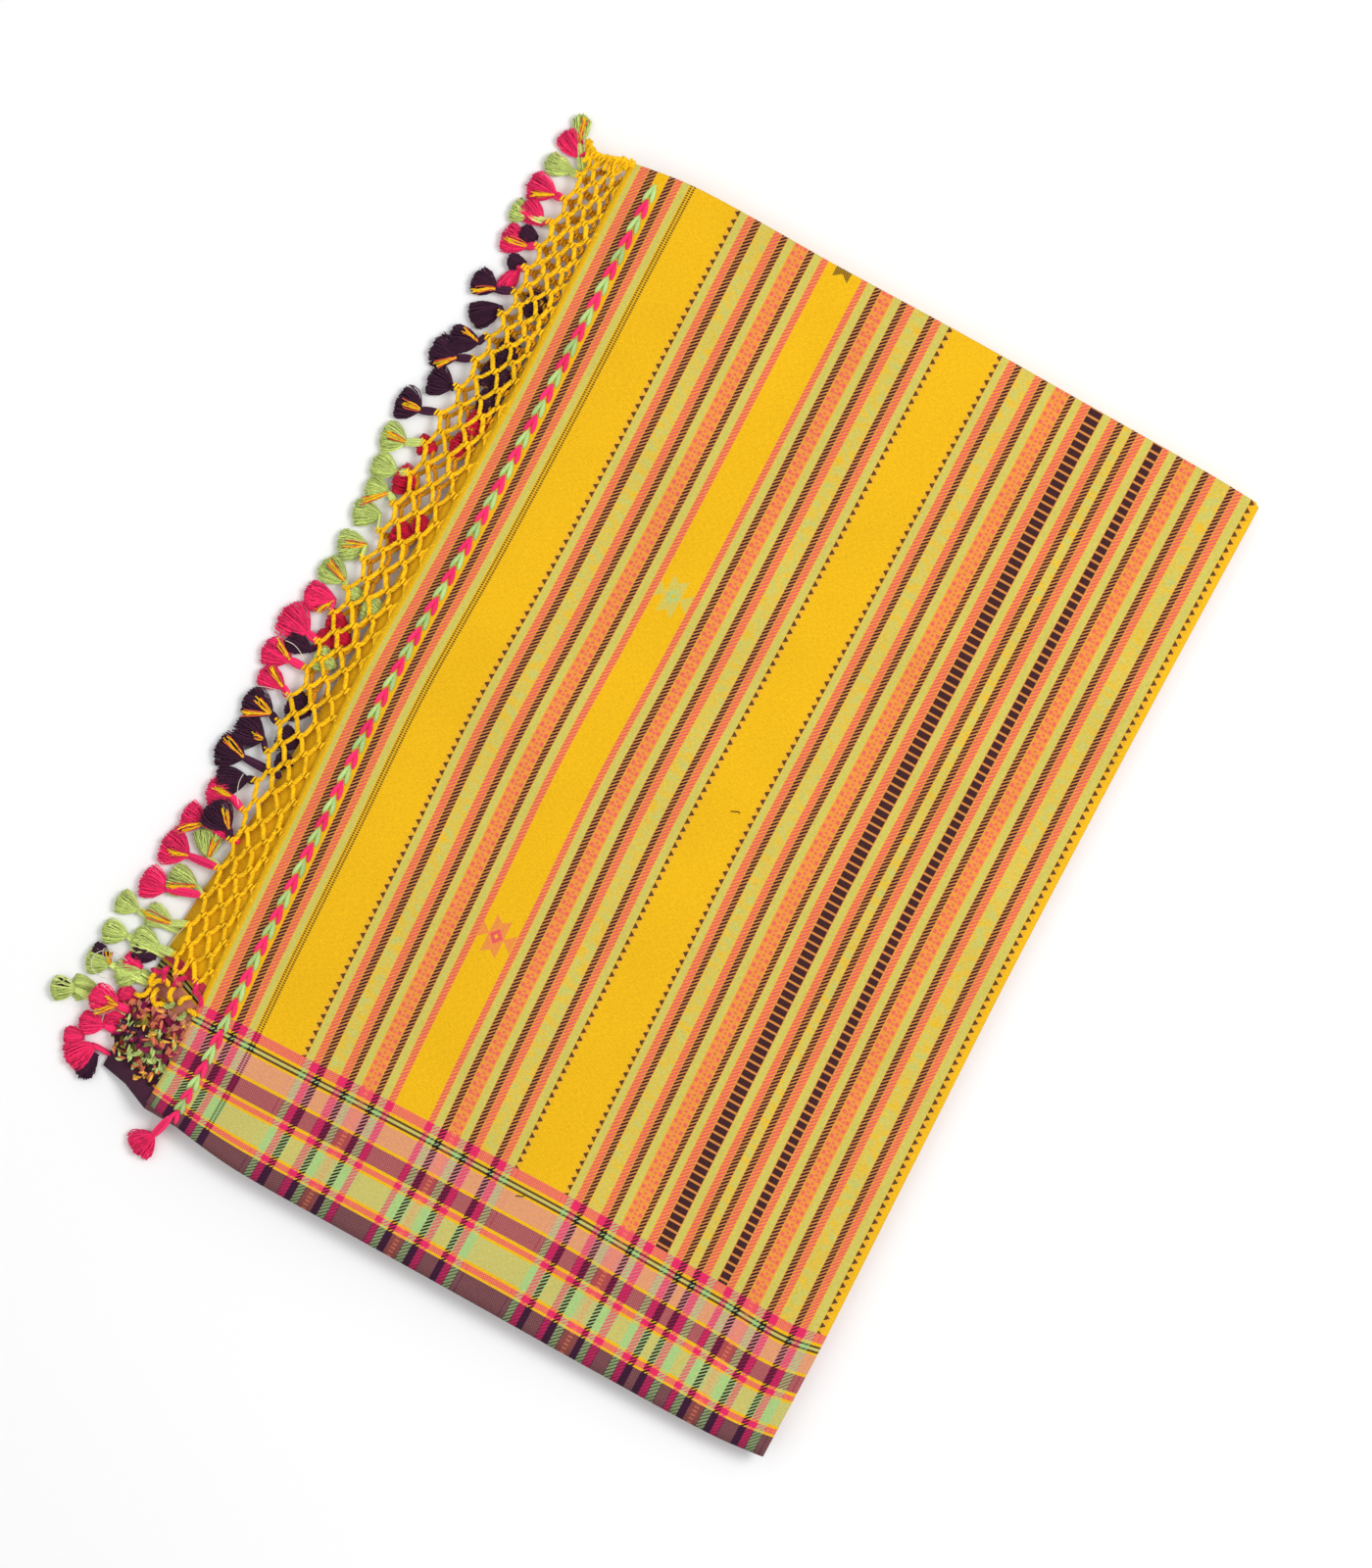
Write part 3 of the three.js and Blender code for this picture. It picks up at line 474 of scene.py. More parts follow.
def woven_sheet(name, along, across, surface, stripes, striped_above=True):
    """A sheet with a grid line at each value of along and across. stripes is a list of (end, weave), which
    striped_above carries on past the border."""
    bm = bmesh.new()
    bmesh.ops.create_grid(bm, x_segments=len(along) - 1, y_segments=len(across) - 1, size=0.5)
    mesh = bpy.data.meshes.new(name)
    bm.to_mesh(mesh)
    bm.free()
    points = np.zeros(len(mesh.vertices) * 3)
    mesh.vertices.foreach_get("co", points)
    points = points.reshape(-1, 3)
    column = np.rint((points[:, 0] + 0.5) * (len(along) - 1)).astype(int)
    row = np.rint((points[:, 1] + 0.5) * (len(across) - 1)).astype(int)
    u = np.array(along, float)[column]
    v = np.array(across, float)[row]
    mesh.vertices.foreach_set("co", metres(np.stack(surface(u, v), 1)).ravel())

    corners = np.zeros(len(mesh.loops), int)
    mesh.loops.foreach_get("vertex_index", corners)
    face_column = column[corners].reshape(-1, 4).min(1)
    face_row = row[corners].reshape(-1, 4).min(1)
    ends = [end for end, _ in stripes]
    starts = [along[0] - 10] + ends
    border_ends = [end for end, _ in BORDER]
    warp, weft, weave, left, right = [], [], [], [], []
    middle_u = (np.array(along)[face_column] + np.array(along)[face_column + 1]) / 2
    middle_v = (np.array(across)[face_row] + np.array(across)[face_row + 1]) / 2
    for a, b in zip(middle_u, middle_v):
        band = band_of(a, ends)
        kind = stripes[band][1] if band < len(stripes) else "plain"
        in_border = b < BORDER_TOP
        if not in_border and not striped_above:
            kind = "plain"
        if in_border:
            kind = BORDER_WEAVES.get(kind, kind)
        yarn, number = WEAVES[kind]
        row_yarn = BORDER[band_of(b, border_ends)][1] if in_border else "yellow"
        if kind in GROUNDS and not in_border:
            row_yarn = GROUNDS[kind]
        if yarn == "yellow" and row_yarn != "yellow":
            yarn = "pale" if row_yarn in ("plum", "maroon") else "straw"
        cover = COVER.get(row_yarn, 1.0)
        if number not in (0, 12):
            cover = (cover + 1) / 2
        if kind == "checked":
            cover = cover ** 2
        warp.append(linear(row_yarn, cover))
        weft.append(linear(yarn))
        weave.append(number)
        left.append(starts[band])
        right.append(ends[band] if band < len(ends) else 10)
    left, right = (np.repeat(np.array(side), 4) for side in (left, right))
    for label, colours in (("warp", warp), ("weft", weft)):
        layer = mesh.attributes.new(label, "FLOAT_COLOR", "CORNER")
        layer.data.foreach_set("color", np.repeat(np.array(colours), 4, 0).ravel())
    weaves = mesh.attributes.new("weave", "FLOAT", "CORNER")
    weaves.data.foreach_set("value", np.repeat(weave, 4).astype(float))
    cloth_map = np.stack([u[corners], v[corners]], 1) * MM
    band_map = np.stack([u[corners] - left, right - u[corners]], 1) * MM
    for label, values in (("cloth", cloth_map), ("band", band_map)):
        mesh.uv_layers.new(name=label).data.foreach_set("uv", values.ravel())
    mesh.update()
    mesh.shade_smooth()
    piece = bpy.data.objects.new(name, mesh)
    scene.collection.objects.link(piece)
    return piece


def thicken(piece):
    """Gives a sheet its thickness on both sides of its middle."""
    wall = piece.modifiers.new("thickness", "SOLIDIFY")
    wall.thickness = SHEET_THICK * MM
    wall.offset = 0.0
    return piece


fold_start = FOLD_REACH - RIGHT_FOLD["radius"]
top_fold_start = HALF_WIDTH - TOP_FOLD["radius"]
CORNER_DRAW = 1.6


def top_surface(u, v):
    right_out, right_down = fold_curve(u - fold_start, RIGHT_FOLD)
    top_out, top_down = fold_curve(v - top_fold_start, TOP_FOLD)
    corner = np.maximum(0, right_out) / RIGHT_FOLD["radius"] * np.maximum(0, top_out) / TOP_FOLD["radius"]
    drawn_in = corner * CORNER_DRAW
    x, y = cloth_place(fold_start + right_out - drawn_in, top_fold_start + top_out - drawn_in)
    down = np.cbrt(right_down**3 + top_down**3)
    return x, y, TOP_LEVEL - sink(x, TOP_SLOPE) + ripple(x, y) - down


top_stripes = [(on_cloth(x), weave) for x, weave in STRIPES]
top_along = divided(-VISIBLE_LENGTH, [end for end, _ in top_stripes] + [fold_start], WIDEST_STEP)
top_along += [fold_start + used for used in fold_stations(RIGHT_FOLD)[1:]]
top_across = divided(0, [end for end, _ in BORDER] + [top_fold_start], FIELD_STEP)
top_across += [top_fold_start + used for used in fold_stations(TOP_FOLD, 3)[1:]]
top_cloth = thicken(woven_sheet("top_cloth", top_along, top_across, top_surface, top_stripes))
print("top cloth:", len(top_cloth.data.polygons), "faces")

# %% [markdown]
# ## The weave
# Plain cloth is one yarn over, one under, so a product of two waves gives the checkered yarns. A twill's
# float moves one yarn at each pick and reads as slanting strokes. Dots, blocks and lattice are extra weft.
# All of them only choose how much weft shows over the warp, and a bump lifts what is on top.

# %% The weave as a material
WARP_PITCH = 0.62
WEFT_PITCH = 0.7
TWILL_PERIOD = 2.3
TWILL_SLANT = 0.95
BLOCK_PITCH = 4.75
BLOCK_GAP = 0.25
DOT_PITCH = 4.8
DOT_LENGTH = 3.0
DOT_HALF = 1.95
LATTICE_PITCH = 4.9
DASH_PITCH = 1.35
STAR_AT = -253.4
STAR_PLACES = (178.6, 383.2, 585.2)
STAR_SPLITS = (285, 485)
COTTON = {"Roughness": 0.88, "Sheen Weight": 0.06, "Sheen Roughness": 0.5, "Specular IOR Level": 0.18}


def star_masks(u, v):
    """A traditional woven star, a diamond with four fishtail arms: the arms, the diamond and its eye."""
    low, middle, top = STAR_PLACES
    here = (v > STAR_SPLITS[0]) * (middle - low) + (v > STAR_SPLITS[1]) * (top - middle)
    a = (u - STAR_AT).size()
    b = (v - low - here).size()
    upright = (a < 4.5) * (b < a * 0.75 + 7.6)
    lying = (b < (a - 4.1) * 0.85) * (a < 10.3)
    distance = a / 3.9 + b / 4.5
    return upright.math("MAXIMUM", lying), distance < 1.0, distance < 0.3


def cloth_recipe(name, stars=False):
    r = Recipe(name, COTTON)
    u, v, _ = r.split(r.node("ShaderNodeUVMap", {"uv_map": "cloth"}))
    left, right, _ = r.split(r.node("ShaderNodeUVMap", {"uv_map": "band"}))
    u, v, left, right = u * 1000, v * 1000, left * 1000, right * 1000
    warp = r.node("ShaderNodeAttribute", {"attribute_name": "warp"})
    cover = r.node("ShaderNodeAttribute", {"attribute_name": "warp"}, output=3)
    weft = r.node("ShaderNodeAttribute", {"attribute_name": "weft"})
    weave = r.node("ShaderNodeAttribute", {"attribute_name": "weave"}, output=2)

    uneven = r.noise(r.join(u * 0.35, v * 0.35), 1.0)
    rough = r.noise(r.join(u * 1.2, v * 1.6), 1.0)
    yarn_u = u + (uneven - 0.5) * 0.7
    yarn_v = v + (uneven - 0.5) * 0.7
    over = yarn_u.wave(WEFT_PITCH * 2) * yarn_v.wave(WARP_PITCH * 2)
    checker = over * 0.5 + 0.5
    twill = (yarn_v - yarn_u * TWILL_SLANT).wave(TWILL_PERIOD)
    strokes = (twill * 2.0 + 1.2 + over * 0.3 + (rough - 0.5) * 1.2).clamped()
    across = ((right - left) / 2).size()
    half = (right + left) / 2

    block = (v.phase(BLOCK_PITCH) > BLOCK_GAP) * (across < half - 0.35)
    beside = (v.phase(DOT_PITCH) - 0.5).size() * DOT_PITCH + (rough - 0.5) * 0.8
    dot = beside < (1 - right / DOT_LENGTH) * DOT_HALF
    dot_back = beside < (1 - left / DOT_LENGTH) * DOT_HALF
    square = (v.phase(LATTICE_PITCH) < 0.46) * (across > half - 2.7) * (across < half - 0.7)
    bead = (v.phase(LATTICE_PITCH / 2) < 0.5) * (across < 0.7)
    lattice = square.math("MAXIMUM", bead)
    dash = (v.phase(DASH_PITCH) < 0.62) * (across > 0.35) * (across < 1.55)
    patches = r.noise(r.join(u * 0.16, v * 0.22), 1.0, 1.0) - 0.5

    coarse = checker * 0.3
    fleck = (rough - 0.5) * 0.5
    shares = [
        coarse + 0.28,
        checker * 0.3 + 0.36 + fleck,
        strokes * 0.46 + 0.34,
        block * 0.92 + 0.04 + fleck * block * 0.3,
        dot * 0.9,
        lattice * 0.34 + 0.22 + checker * 0.34 + fleck * 0.8,
        dash * 0.8 + 0.06,
        coarse + 0.24 + patches * 1.1 + fleck,
        dot_back * 0.9,
        strokes * 0.94 + 0.05,
        strokes * 0.66 + 0.12,
        (across < 1.3) * (v.phase(TWILL_PERIOD) < 0.5) * 0.4 + checker * 0.36 + 0.1,
        checker * 0.8 + 0.03,
    ]
    share = shares[0] * (weave < 0.5)
    for number, one in enumerate(shares[1:], 1):
        share = share + one * ((weave - number).size() < 0.5)

    nearest = left.math("MINIMUM", right)
    inside = (nearest + (rough - 0.5) * 0.9).step(0.0, 0.3)
    share = (share * inside).clamped() * cover
    mixed = r.mix(share, warp, weft)
    if stars:
        arms, diamond, eye = star_masks(u, v)
        body = arms.math("MAXIMUM", diamond) * (weave < 0.5) * (1 - eye)
        yarn = r.mix(v > STAR_SPLITS[0], linear("pink"), linear("green"))
        yarn = r.mix(v > STAR_SPLITS[1], yarn, linear("dark"))
        stitched = (over * 0.35 + 0.42 + diamond * 0.4 + (v > STAR_SPLITS[1]) * 0.25).clamped()
        mixed = r.mix(body * stitched, mixed, yarn)

    level_slubs = r.noise(r.join(u * 0.4, v * 1.9), 1.0)
    upright_slubs = r.noise(r.join(u * 1.8, v * 0.5), 1.0)
    cloudy = r.noise(r.join(u * 0.02, v * 0.02), 1.0)
    light = (level_slubs - 0.5) * 0.5 + (upright_slubs - 0.5) * 0.34 + (cloudy - 0.5) * 0.16 + over * 0.09
    r.colour(r.shade(mixed, light + 1.0))
    slanted = twill * 0.8 * ((weave - 2).size() < 0.5).math("MAXIMUM", (weave - 9).size() < 0.5)
    relief = over * 0.6 + level_slubs * 1.4 + upright_slubs * 1.1 + slanted
    r.bump(relief, 0.14 * MM, 0.8)
    return r.material


top_cloth.data.materials.append(cloth_recipe("striped cotton", stars=True))
print("weave nodes:", len(top_cloth.data.materials[0].node_tree.nodes))
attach(top_cloth, "root")
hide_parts("top_layer")

# %% [markdown]
# ## The lower half and the hidden layers
# The saree is folded once across its width, so a second half lies under the one on top and shows at the
# knotted end. Below them the same length of cloth goes to and fro. One long strip laid in that zigzag gives
# real folds at both sides, where a block with grooves would look cast.

# %% The lower half and the hidden layers
UNDER_EDGE = [(20, -409), (100, -406), (150, -400), (250, -392), (345, -388), (440, -382), (585, -379)]
UNDER_SELVEDGE = [
    (-409, 20.5), (-395, 18.5), (-381, 12), (-360, 11.2), (-320, 7), (-180, 3), (-30, 0), (4, 1),
]
UNDER_START = -400
UNDER_RIGHT = -2.2
UNDER_TOP = 577.2
UNDER_STRIPES = [(-376, "checked")]
PANELS = 12
PANEL_STEP = 1.13
HIDDEN_LEFT = -364.6
HIDDEN_RIGHT = -2.6
TOP_PANELS_BACK = 3.4
HIDDEN_FIRST = 40
HIDDEN_REPEAT = 61
HIDDEN_GROUP = [(0, "plain"), (7, "green"), (12, "coral"), (16, "dark"), (24, "mottled")]


def under_surface(u, v):
    left = follow(UNDER_EDGE, v)
    end = cloth_place(UNDER_RIGHT, v, False)[0]
    hanging = left + (DROP_START - left) * (u - UNDER_START) / (DROP_START - UNDER_START)
    flat = DROP_START + (end - DROP_START) * (u - DROP_START) / (UNDER_RIGHT - DROP_START)
    x = np.where(u < DROP_START, hanging, flat)
    selvedge = follow(UNDER_SELVEDGE, x)
    y = selvedge + (follow(FOLD_AT_TOP, x) - selvedge) * v / HALF_WIDTH
    return x, y, UNDER_LEVEL - sink(x, UNDER_SLOPE) + ripple(x, y)


def zigzag():
    """The path of the hidden strip in x and z, with the panel that each point belongs to."""
    path = []
    for panel in range(PANELS):
        z = PANEL_STEP * (panel + 0.5)
        left = HIDDEN_LEFT - 0.9 * math.sin(panel * 1.9)
        back = TOP_PANELS_BACK if panel > PANELS - 3 else 0
        right = HIDDEN_RIGHT + 0.6 * math.sin(panel * 2.6) - back
        ends = (left, right) if panel % 2 == 0 else (right, left)
        path += [(float(x), z, panel) for x in np.linspace(*ends, 9)]
        if panel == PANELS - 1:
            continue
        outwards = 1 if panel % 2 == 0 else -1
        for step in range(1, 5):
            turn = math.pi * step / 5
            path.append((
                ends[1] + outwards * math.sin(turn) * PANEL_STEP * 0.8,
                z + (1 - math.cos(turn)) * PANEL_STEP / 2,
                panel + step / 5))
    return np.array(path)


strip = zigzag()
strip_at = np.concatenate([[0], np.cumsum(np.hypot(np.diff(strip[:, 0]), np.diff(strip[:, 1])))])


def hidden_surface(u, v):
    x, z, panel = (np.interp(u, strip_at, strip[:, k]) for k in range(3))
    bottom = 5.6 + 1.1 * np.sin(panel * 2.9)
    top = 576.6 + 0.8 * np.sin(panel * 2.1)
    x, y = cloth_place(x, bottom + (top - bottom) * v / HALF_WIDTH, False)
    return x, y, z


under_along = divided(UNDER_START, [end for end, _ in UNDER_STRIPES] + [DROP_START, UNDER_RIGHT], 20)
under_across = divided(0, [end for end, _ in BORDER] + [UNDER_TOP], 20)
under_cloth = thicken(
    woven_sheet("under_cloth", under_along, under_across, under_surface, UNDER_STRIPES, False))
hidden_stripes = []
for start in np.arange(HIDDEN_FIRST, strip_at[-1], HIDDEN_REPEAT):
    for width, weave in HIDDEN_GROUP:
        hidden_stripes.append((float(start + width), weave))
hidden_across = divided(0, [end for end, _ in BORDER] + [HALF_WIDTH], 60)
hidden_cloth = thicken(
    woven_sheet("hidden_cloth", strip_at.tolist(), hidden_across, hidden_surface, hidden_stripes))
plain_cotton = cloth_recipe("folded cotton")
under_cloth.data.materials.append(plain_cotton)
hidden_cloth.data.materials.append(plain_cotton)
for piece, node, slot in (
        (under_cloth, "under_layer", "striped_cloth"),
        (hidden_cloth, "hidden_layers", "folded_cloth")):
    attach(piece, "root")
    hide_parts(node)
print("hidden strip:", round(float(strip_at[-1])), "mm in", PANELS, "panels")

# %% [markdown]
# ## Threads and cords
# Every thread is the same straight rod, bent along its own path, so hundreds of them are cheap and join
# into one mesh. A cord is three such plies wound round each other, a knot is a short coil. Bevelled curves
# would be the other way, but they can't carry a colour for each thread.

# %% Threads and cords
rng = np.random.default_rng(7)
PLIES = 3


def rod(stations, sides):
    """A straight thread: x counts its stations, y and z go round it at radius 1."""
    bm = bmesh.new()
    bmesh.ops.create_grid(bm, x_segments=stations - 1, y_segments=sides, size=0.5)
    for vert in bm.verts:
        turn = vert.co.y * TAU
        vert.co = ((vert.co.x + 0.5) * (stations - 1), math.cos(turn), math.sin(turn))
    bmesh.ops.remove_doubles(bm, verts=bm.verts, dist=1e-4)
    bmesh.ops.holes_fill(bm, edges=[edge for edge in bm.edges if edge.is_boundary], sides=sides)
    bmesh.ops.triangulate(bm, faces=bm.faces)
    bmesh.ops.recalc_face_normals(bm, faces=bm.faces)
    bm.verts.index_update()
    points = np.array([vert.co[:] for vert in bm.verts])
    faces = np.array([[vert.index for vert in face.verts] for face in bm.faces])
    bm.free()
    return points, faces


def unit(vectors):
    return vectors / np.maximum(np.linalg.norm(vectors, axis=-1, keepdims=True), 1e-9)


def frames(paths):
    """Two directions across each path at every station, turning as little as they can."""
    ahead = unit(np.gradient(paths, axis=1))
    side = unit(np.cross(np.array([0.02, 0.03, 1.0]), ahead[:, 0]))
    sides = [side]
    for k in range(1, paths.shape[1]):
        side = side - ahead[:, k] * np.sum(side * ahead[:, k], axis=-1, keepdims=True)
        side = unit(side)
        sides.append(side)
    side = np.stack(sides, 1)
    return side, np.cross(ahead, side)


class Yarns:
    """Threads that are laid one after another and then become one mesh."""

    def __init__(self):
        self.points, self.faces, self.fibre, self.tint = [], [], [], []
        self.count = 0

    def lay(self, paths, radius, colours, sides=5):
        """paths is (threads, stations, 3) in millimetres; radius and colours fit threads and stations."""
        paths = np.asarray(paths, float)
        threads, stations = paths.shape[:2]
        points, faces = rod(stations, sides)
        station = np.rint(points[:, 0]).astype(int)
        side, up = frames(paths)
        radius = np.broadcast_to(radius, (threads, stations))[:, station, None]
        outward = points[:, 1:2] * side[:, station] + points[:, 2:3] * up[:, station]
        where = paths[:, station] + radius * outward
        colours = np.broadcast_to(np.asarray(colours, float), (threads, 4))
        chance = rng.random(threads)
        self.points.append(where.reshape(-1, 3))
        starts = self.count + len(points) * np.arange(threads)
        self.faces.append((faces[None] + starts[:, None, None]).reshape(-1, 3))
        self.count += threads * len(points)
        along = np.broadcast_to(station / (stations - 1), (threads, len(points)))
        around = np.broadcast_to(np.arctan2(points[:, 2], points[:, 1]) / TAU, (threads, len(points)))
        fibre = np.stack([along, around, np.broadcast_to(chance[:, None], along.shape)], -1)
        self.fibre.append(fibre.reshape(-1, 3))
        self.tint.append(np.repeat(colours, len(points), 0))

    def twist(self, path, radius, pitch, colours, turn=0.0):
        """A cord of three plies along one path of many stations."""
        path = np.asarray(path, float)[None]
        side, up = frames(path)
        run = np.concatenate([[0], np.cumsum(np.linalg.norm(np.diff(path[0], axis=0), axis=1))])
        for ply in range(PLIES):
            angle = turn + TAU * (run / pitch + ply / PLIES)
            offset = np.cos(angle)[:, None] * side[0] + np.sin(angle)[:, None] * up[0]
            self.lay(path + offset * radius, radius, colours[ply])

    def piece(self, name, material):
        mesh = bpy.data.meshes.new(name)
        points = metres(np.concatenate(self.points))
        mesh.from_pydata(points.tolist(), [], np.concatenate(self.faces).tolist())
        mesh.attributes.new("fibre", "FLOAT_VECTOR", "POINT").data.foreach_set(
            "vector", np.concatenate(self.fibre).ravel())
        mesh.attributes.new("tint", "FLOAT_COLOR", "POINT").data.foreach_set(
            "color", np.concatenate(self.tint).ravel())
        mesh.materials.append(material)
        mesh.shade_smooth()
        made = bpy.data.objects.new(name, mesh)
        scene.collection.objects.link(made)
        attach(made, "root")
        print(name, "has", len(mesh.polygons), "triangles")
        return made


def bow(start, end, start_pull, end_pull, stations):
    """A smooth path from start to end that leaves and arrives along the two pulls."""
    start, end, a, b = (np.asarray(value, float) for value in (start, end, start_pull, end_pull))
    t = np.linspace(0, 1, stations)[:, None]
    return (
        start * (2 * t**3 - 3 * t**2 + 1) + a * (t**3 - 2 * t**2 + t)
        + end * (3 * t**2 - 2 * t**3) + b * (t**3 - t**2))


def yarn_recipe(name):
    r = Recipe(name, {**COTTON, "Specular IOR Level": 0.15})
    tint = r.node("ShaderNodeAttribute", {"attribute_name": "tint"})
    along, around, chance = r.split(r.node("ShaderNodeAttribute", {"attribute_name": "fibre"}, output=1))
    place = r.node("ShaderNodeTexCoord", output=3)
    speckle = r.noise(place, 900.0, 2.0)
    streaks = (around * 3 + along * 9 + chance * 7).wave(1.0)
    light = (chance - 0.5) * 0.3 + (speckle - 0.5) * 0.5 + streaks * 0.06
    r.colour(r.shade(tint, light + 1.0))
    r.bump(streaks * 0.5 + speckle, 0.15 * MM, 0.7)
    return r.material


yarn = yarn_recipe("cotton yarn")
print("threads are ready")

# %% [markdown]
# ## The knotted nets
# The warp ends are gathered in bundles and knotted in rows, each bundle parting to its two neighbours
# below, so the gaps are rounded hexagons. The loops take the rows one after another, and the cords leave
# and reach a knot along the warp, which bends them. Small random shifts stand for the hand's work.

# %% The knotted nets
KNOT_HEIGHTS = [(0, 578), (4, 520), (9, 449), (15, 344), (17, 310), (21, 244), (23, 211), (33, 42)]
KNOT_ROWS = [0.08, 0.3, 0.55, 0.8, 1.02]
KNOT_STACKS = 31
NET_REACH = [
    (20, 22), (100, 24), (160, 23), (220, 28), (280, 28), (350, 28.5), (410, 30), (470, 25), (530, 24),
    (585, 21),
]
PLY_RADIUS = 0.7
CORD_PITCH = 5.6
KNOT_RADIUS = 1.3
UNDER_KNOT_ROWS = [0.05, 0.36, 0.68, 1.0]
UNDER_KNOT_STACKS = 21
EDGE_ENDS = 12
EDGE_SPREAD = 7.5
EDGE_RANGE = (14, 580)


def top_edge_x(y):
    return -VISIBLE_LENGTH + follow(WANDER_AT_END, y)


def under_edge_x(y):
    return follow(UNDER_EDGE, y)


def top_cord_height(x):
    return TOP_LEVEL - sink(x, TOP_SLOPE)


def shaded(name, low=0.88, high=1.06):
    """A yarn's colour, a little lighter or darker each time."""
    return np.array(linear(name)) * np.append(np.full(3, rng.uniform(low, high)), 1)


def make_knots(rows, stacks, edge, reach_end, height, phase=0.0):
    """Places of the knots, row by row, with a little shift each."""
    knots = []
    for row, share in enumerate(rows):
        line = []
        for k in range(stacks):
            y = float(follow(KNOT_HEIGHTS, k + (row % 2) / 2 + phase)) + rng.uniform(-0.8, 0.8)
            x = edge(y) + (reach_end(y) - edge(y)) * share + rng.uniform(-0.7, 0.7)
            line.append(np.array([float(x), y, float(height(x, y))]))
        knots.append(line)
    return knots


def lay_knot(yarns, knot, name, reach=3.2, turns=1.8, thick=0.68):
    """A short coil along the warp."""
    t = np.linspace(0, 1, 20)
    angle = TAU * turns * t + rng.uniform(0, TAU)
    lean = rng.uniform(-0.9, 0.9)
    coil = np.stack([
        knot[0] + reach * (0.5 - t),
        knot[1] + KNOT_RADIUS * 1.2 * np.cos(angle) + lean * (t - 0.5),
        knot[2] + 0.2 + KNOT_RADIUS * np.sin(angle)], 1)
    yarns.lay(coil[None], thick, shaded(name))


def make_net(yarns, knots, name):
    """Cords from each knot to the two next to it in the following row, and the knots themselves."""
    for row in range(len(knots) - 1):
        for k, knot in enumerate(knots[row]):
            for side in (0, 1):
                other = k - side if row % 2 == 0 else k + side
                if not 0 <= other < len(knots[row + 1]):
                    continue
                end = knots[row + 1][other]
                out = math.copysign(1.0, end[1] - knot[1])
                start_pull = (-rng.uniform(2, 4), out * rng.uniform(3, 7), 0)
                end_pull = (-rng.uniform(4, 8), out * rng.uniform(0, 4), 0)
                path = bow(knot + (-1.2, out * 0.6, 0), end + (1.2, -out * 0.6, 0), start_pull, end_pull, 13)
                path[:, 2] += 0.3 * out
                colours = [shaded(name) for _ in range(3)]
                radius = PLY_RADIUS * rng.uniform(0.88, 1.12)
                yarns.twist(path, radius, CORD_PITCH, colours, rng.uniform(0, TAU))
    for row in knots:
        for knot in row:
            lay_knot(yarns, knot, name)


top_knots = make_knots(
    KNOT_ROWS, KNOT_STACKS, top_edge_x, lambda y: top_edge_x(y) - follow(NET_REACH, y),
    lambda x, y: top_cord_height(x))
net_yarns = Yarns()
make_net(net_yarns, top_knots, "golden")
for knot in top_knots[0]:
    for spread in np.linspace(-EDGE_SPREAD, EDGE_SPREAD, EDGE_ENDS):
        y = knot[1] + spread + rng.uniform(-0.4, 0.4)
        if not EDGE_RANGE[0] < y < EDGE_RANGE[1]:
            continue
        x = float(top_edge_x(y)) + 2.0
        start = (x, y, float(top_cord_height(x)) + rng.uniform(-0.2, 0.3))
        path = bow(start, knot + np.array([0.6, 0, 0]), (-3.0, 0, 0), (-2.0, -spread * 0.5, 0), 9)
        net_yarns.lay(path[None], 0.42, shaded("golden"))
UPPER_ROPE = [
    (-378, 580.6, 15.6), (-387, 579.2, 14.6), (-395, 576.8, 12.6), (-401, 577.2, 10.4),
    (-407, 581.5, 8.4),
]
at = np.linspace(0, 4, 45)
upper = np.stack([follow(list(enumerate([place[k] for place in UPPER_ROPE])), at) for k in range(3)], 1)
for lift in (0, 1.1):
    path = upper + (0, lift, lift)
    net_yarns.twist(path, 0.75, 5.0, [shaded("golden") for _ in range(3)], lift)
for station in range(2, 45, 5):
    place = upper[station] + (0, rng.uniform(-1, 1.2), 0.9)
    lay_knot(net_yarns, place, "golden", 3.6, 1.8, 0.8)
    below = place + (rng.uniform(-3.5, 3.5), -rng.uniform(4.5, 8), -0.6)
    path = bow(place, below, (-3, -5, 0), (3, -5, 0), 13)
    net_yarns.twist(path, 0.62, 5.0, [shaded("golden")] * 3)
top_net = net_yarns.piece("knotted_net", yarn)
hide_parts("top_net")


def under_height(x, y):
    edge = under_edge_x(y)
    at_edge = UNDER_LEVEL - sink(edge, UNDER_SLOPE)
    end = under_reach(y)
    share = np.clip((edge - x) / (edge - end), 0, 1)
    return at_edge + (np.minimum(at_edge, 3.6) - at_edge) * share


def under_reach(y):
    return top_edge_x(y) - follow(NET_REACH, y) + 3.5


under_yarns = Yarns()
under_knots = make_knots(
    UNDER_KNOT_ROWS, UNDER_KNOT_STACKS, under_edge_x, under_reach, under_height, phase=0.5)
# The lower net is drawn in the darkened golden yarn, a painted shade.
make_net(under_yarns, under_knots, "shaded")
under_net = under_yarns.piece("lower_net", yarn)
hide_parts("under_net")

# %% [markdown]
# ## The border's knots
# Where the border's many colours end, the warp is knotted so closely that hardly a gap is left. Each place
# is a short twist of three yarns, most with a coil round them. Colours come from the border row beside it.

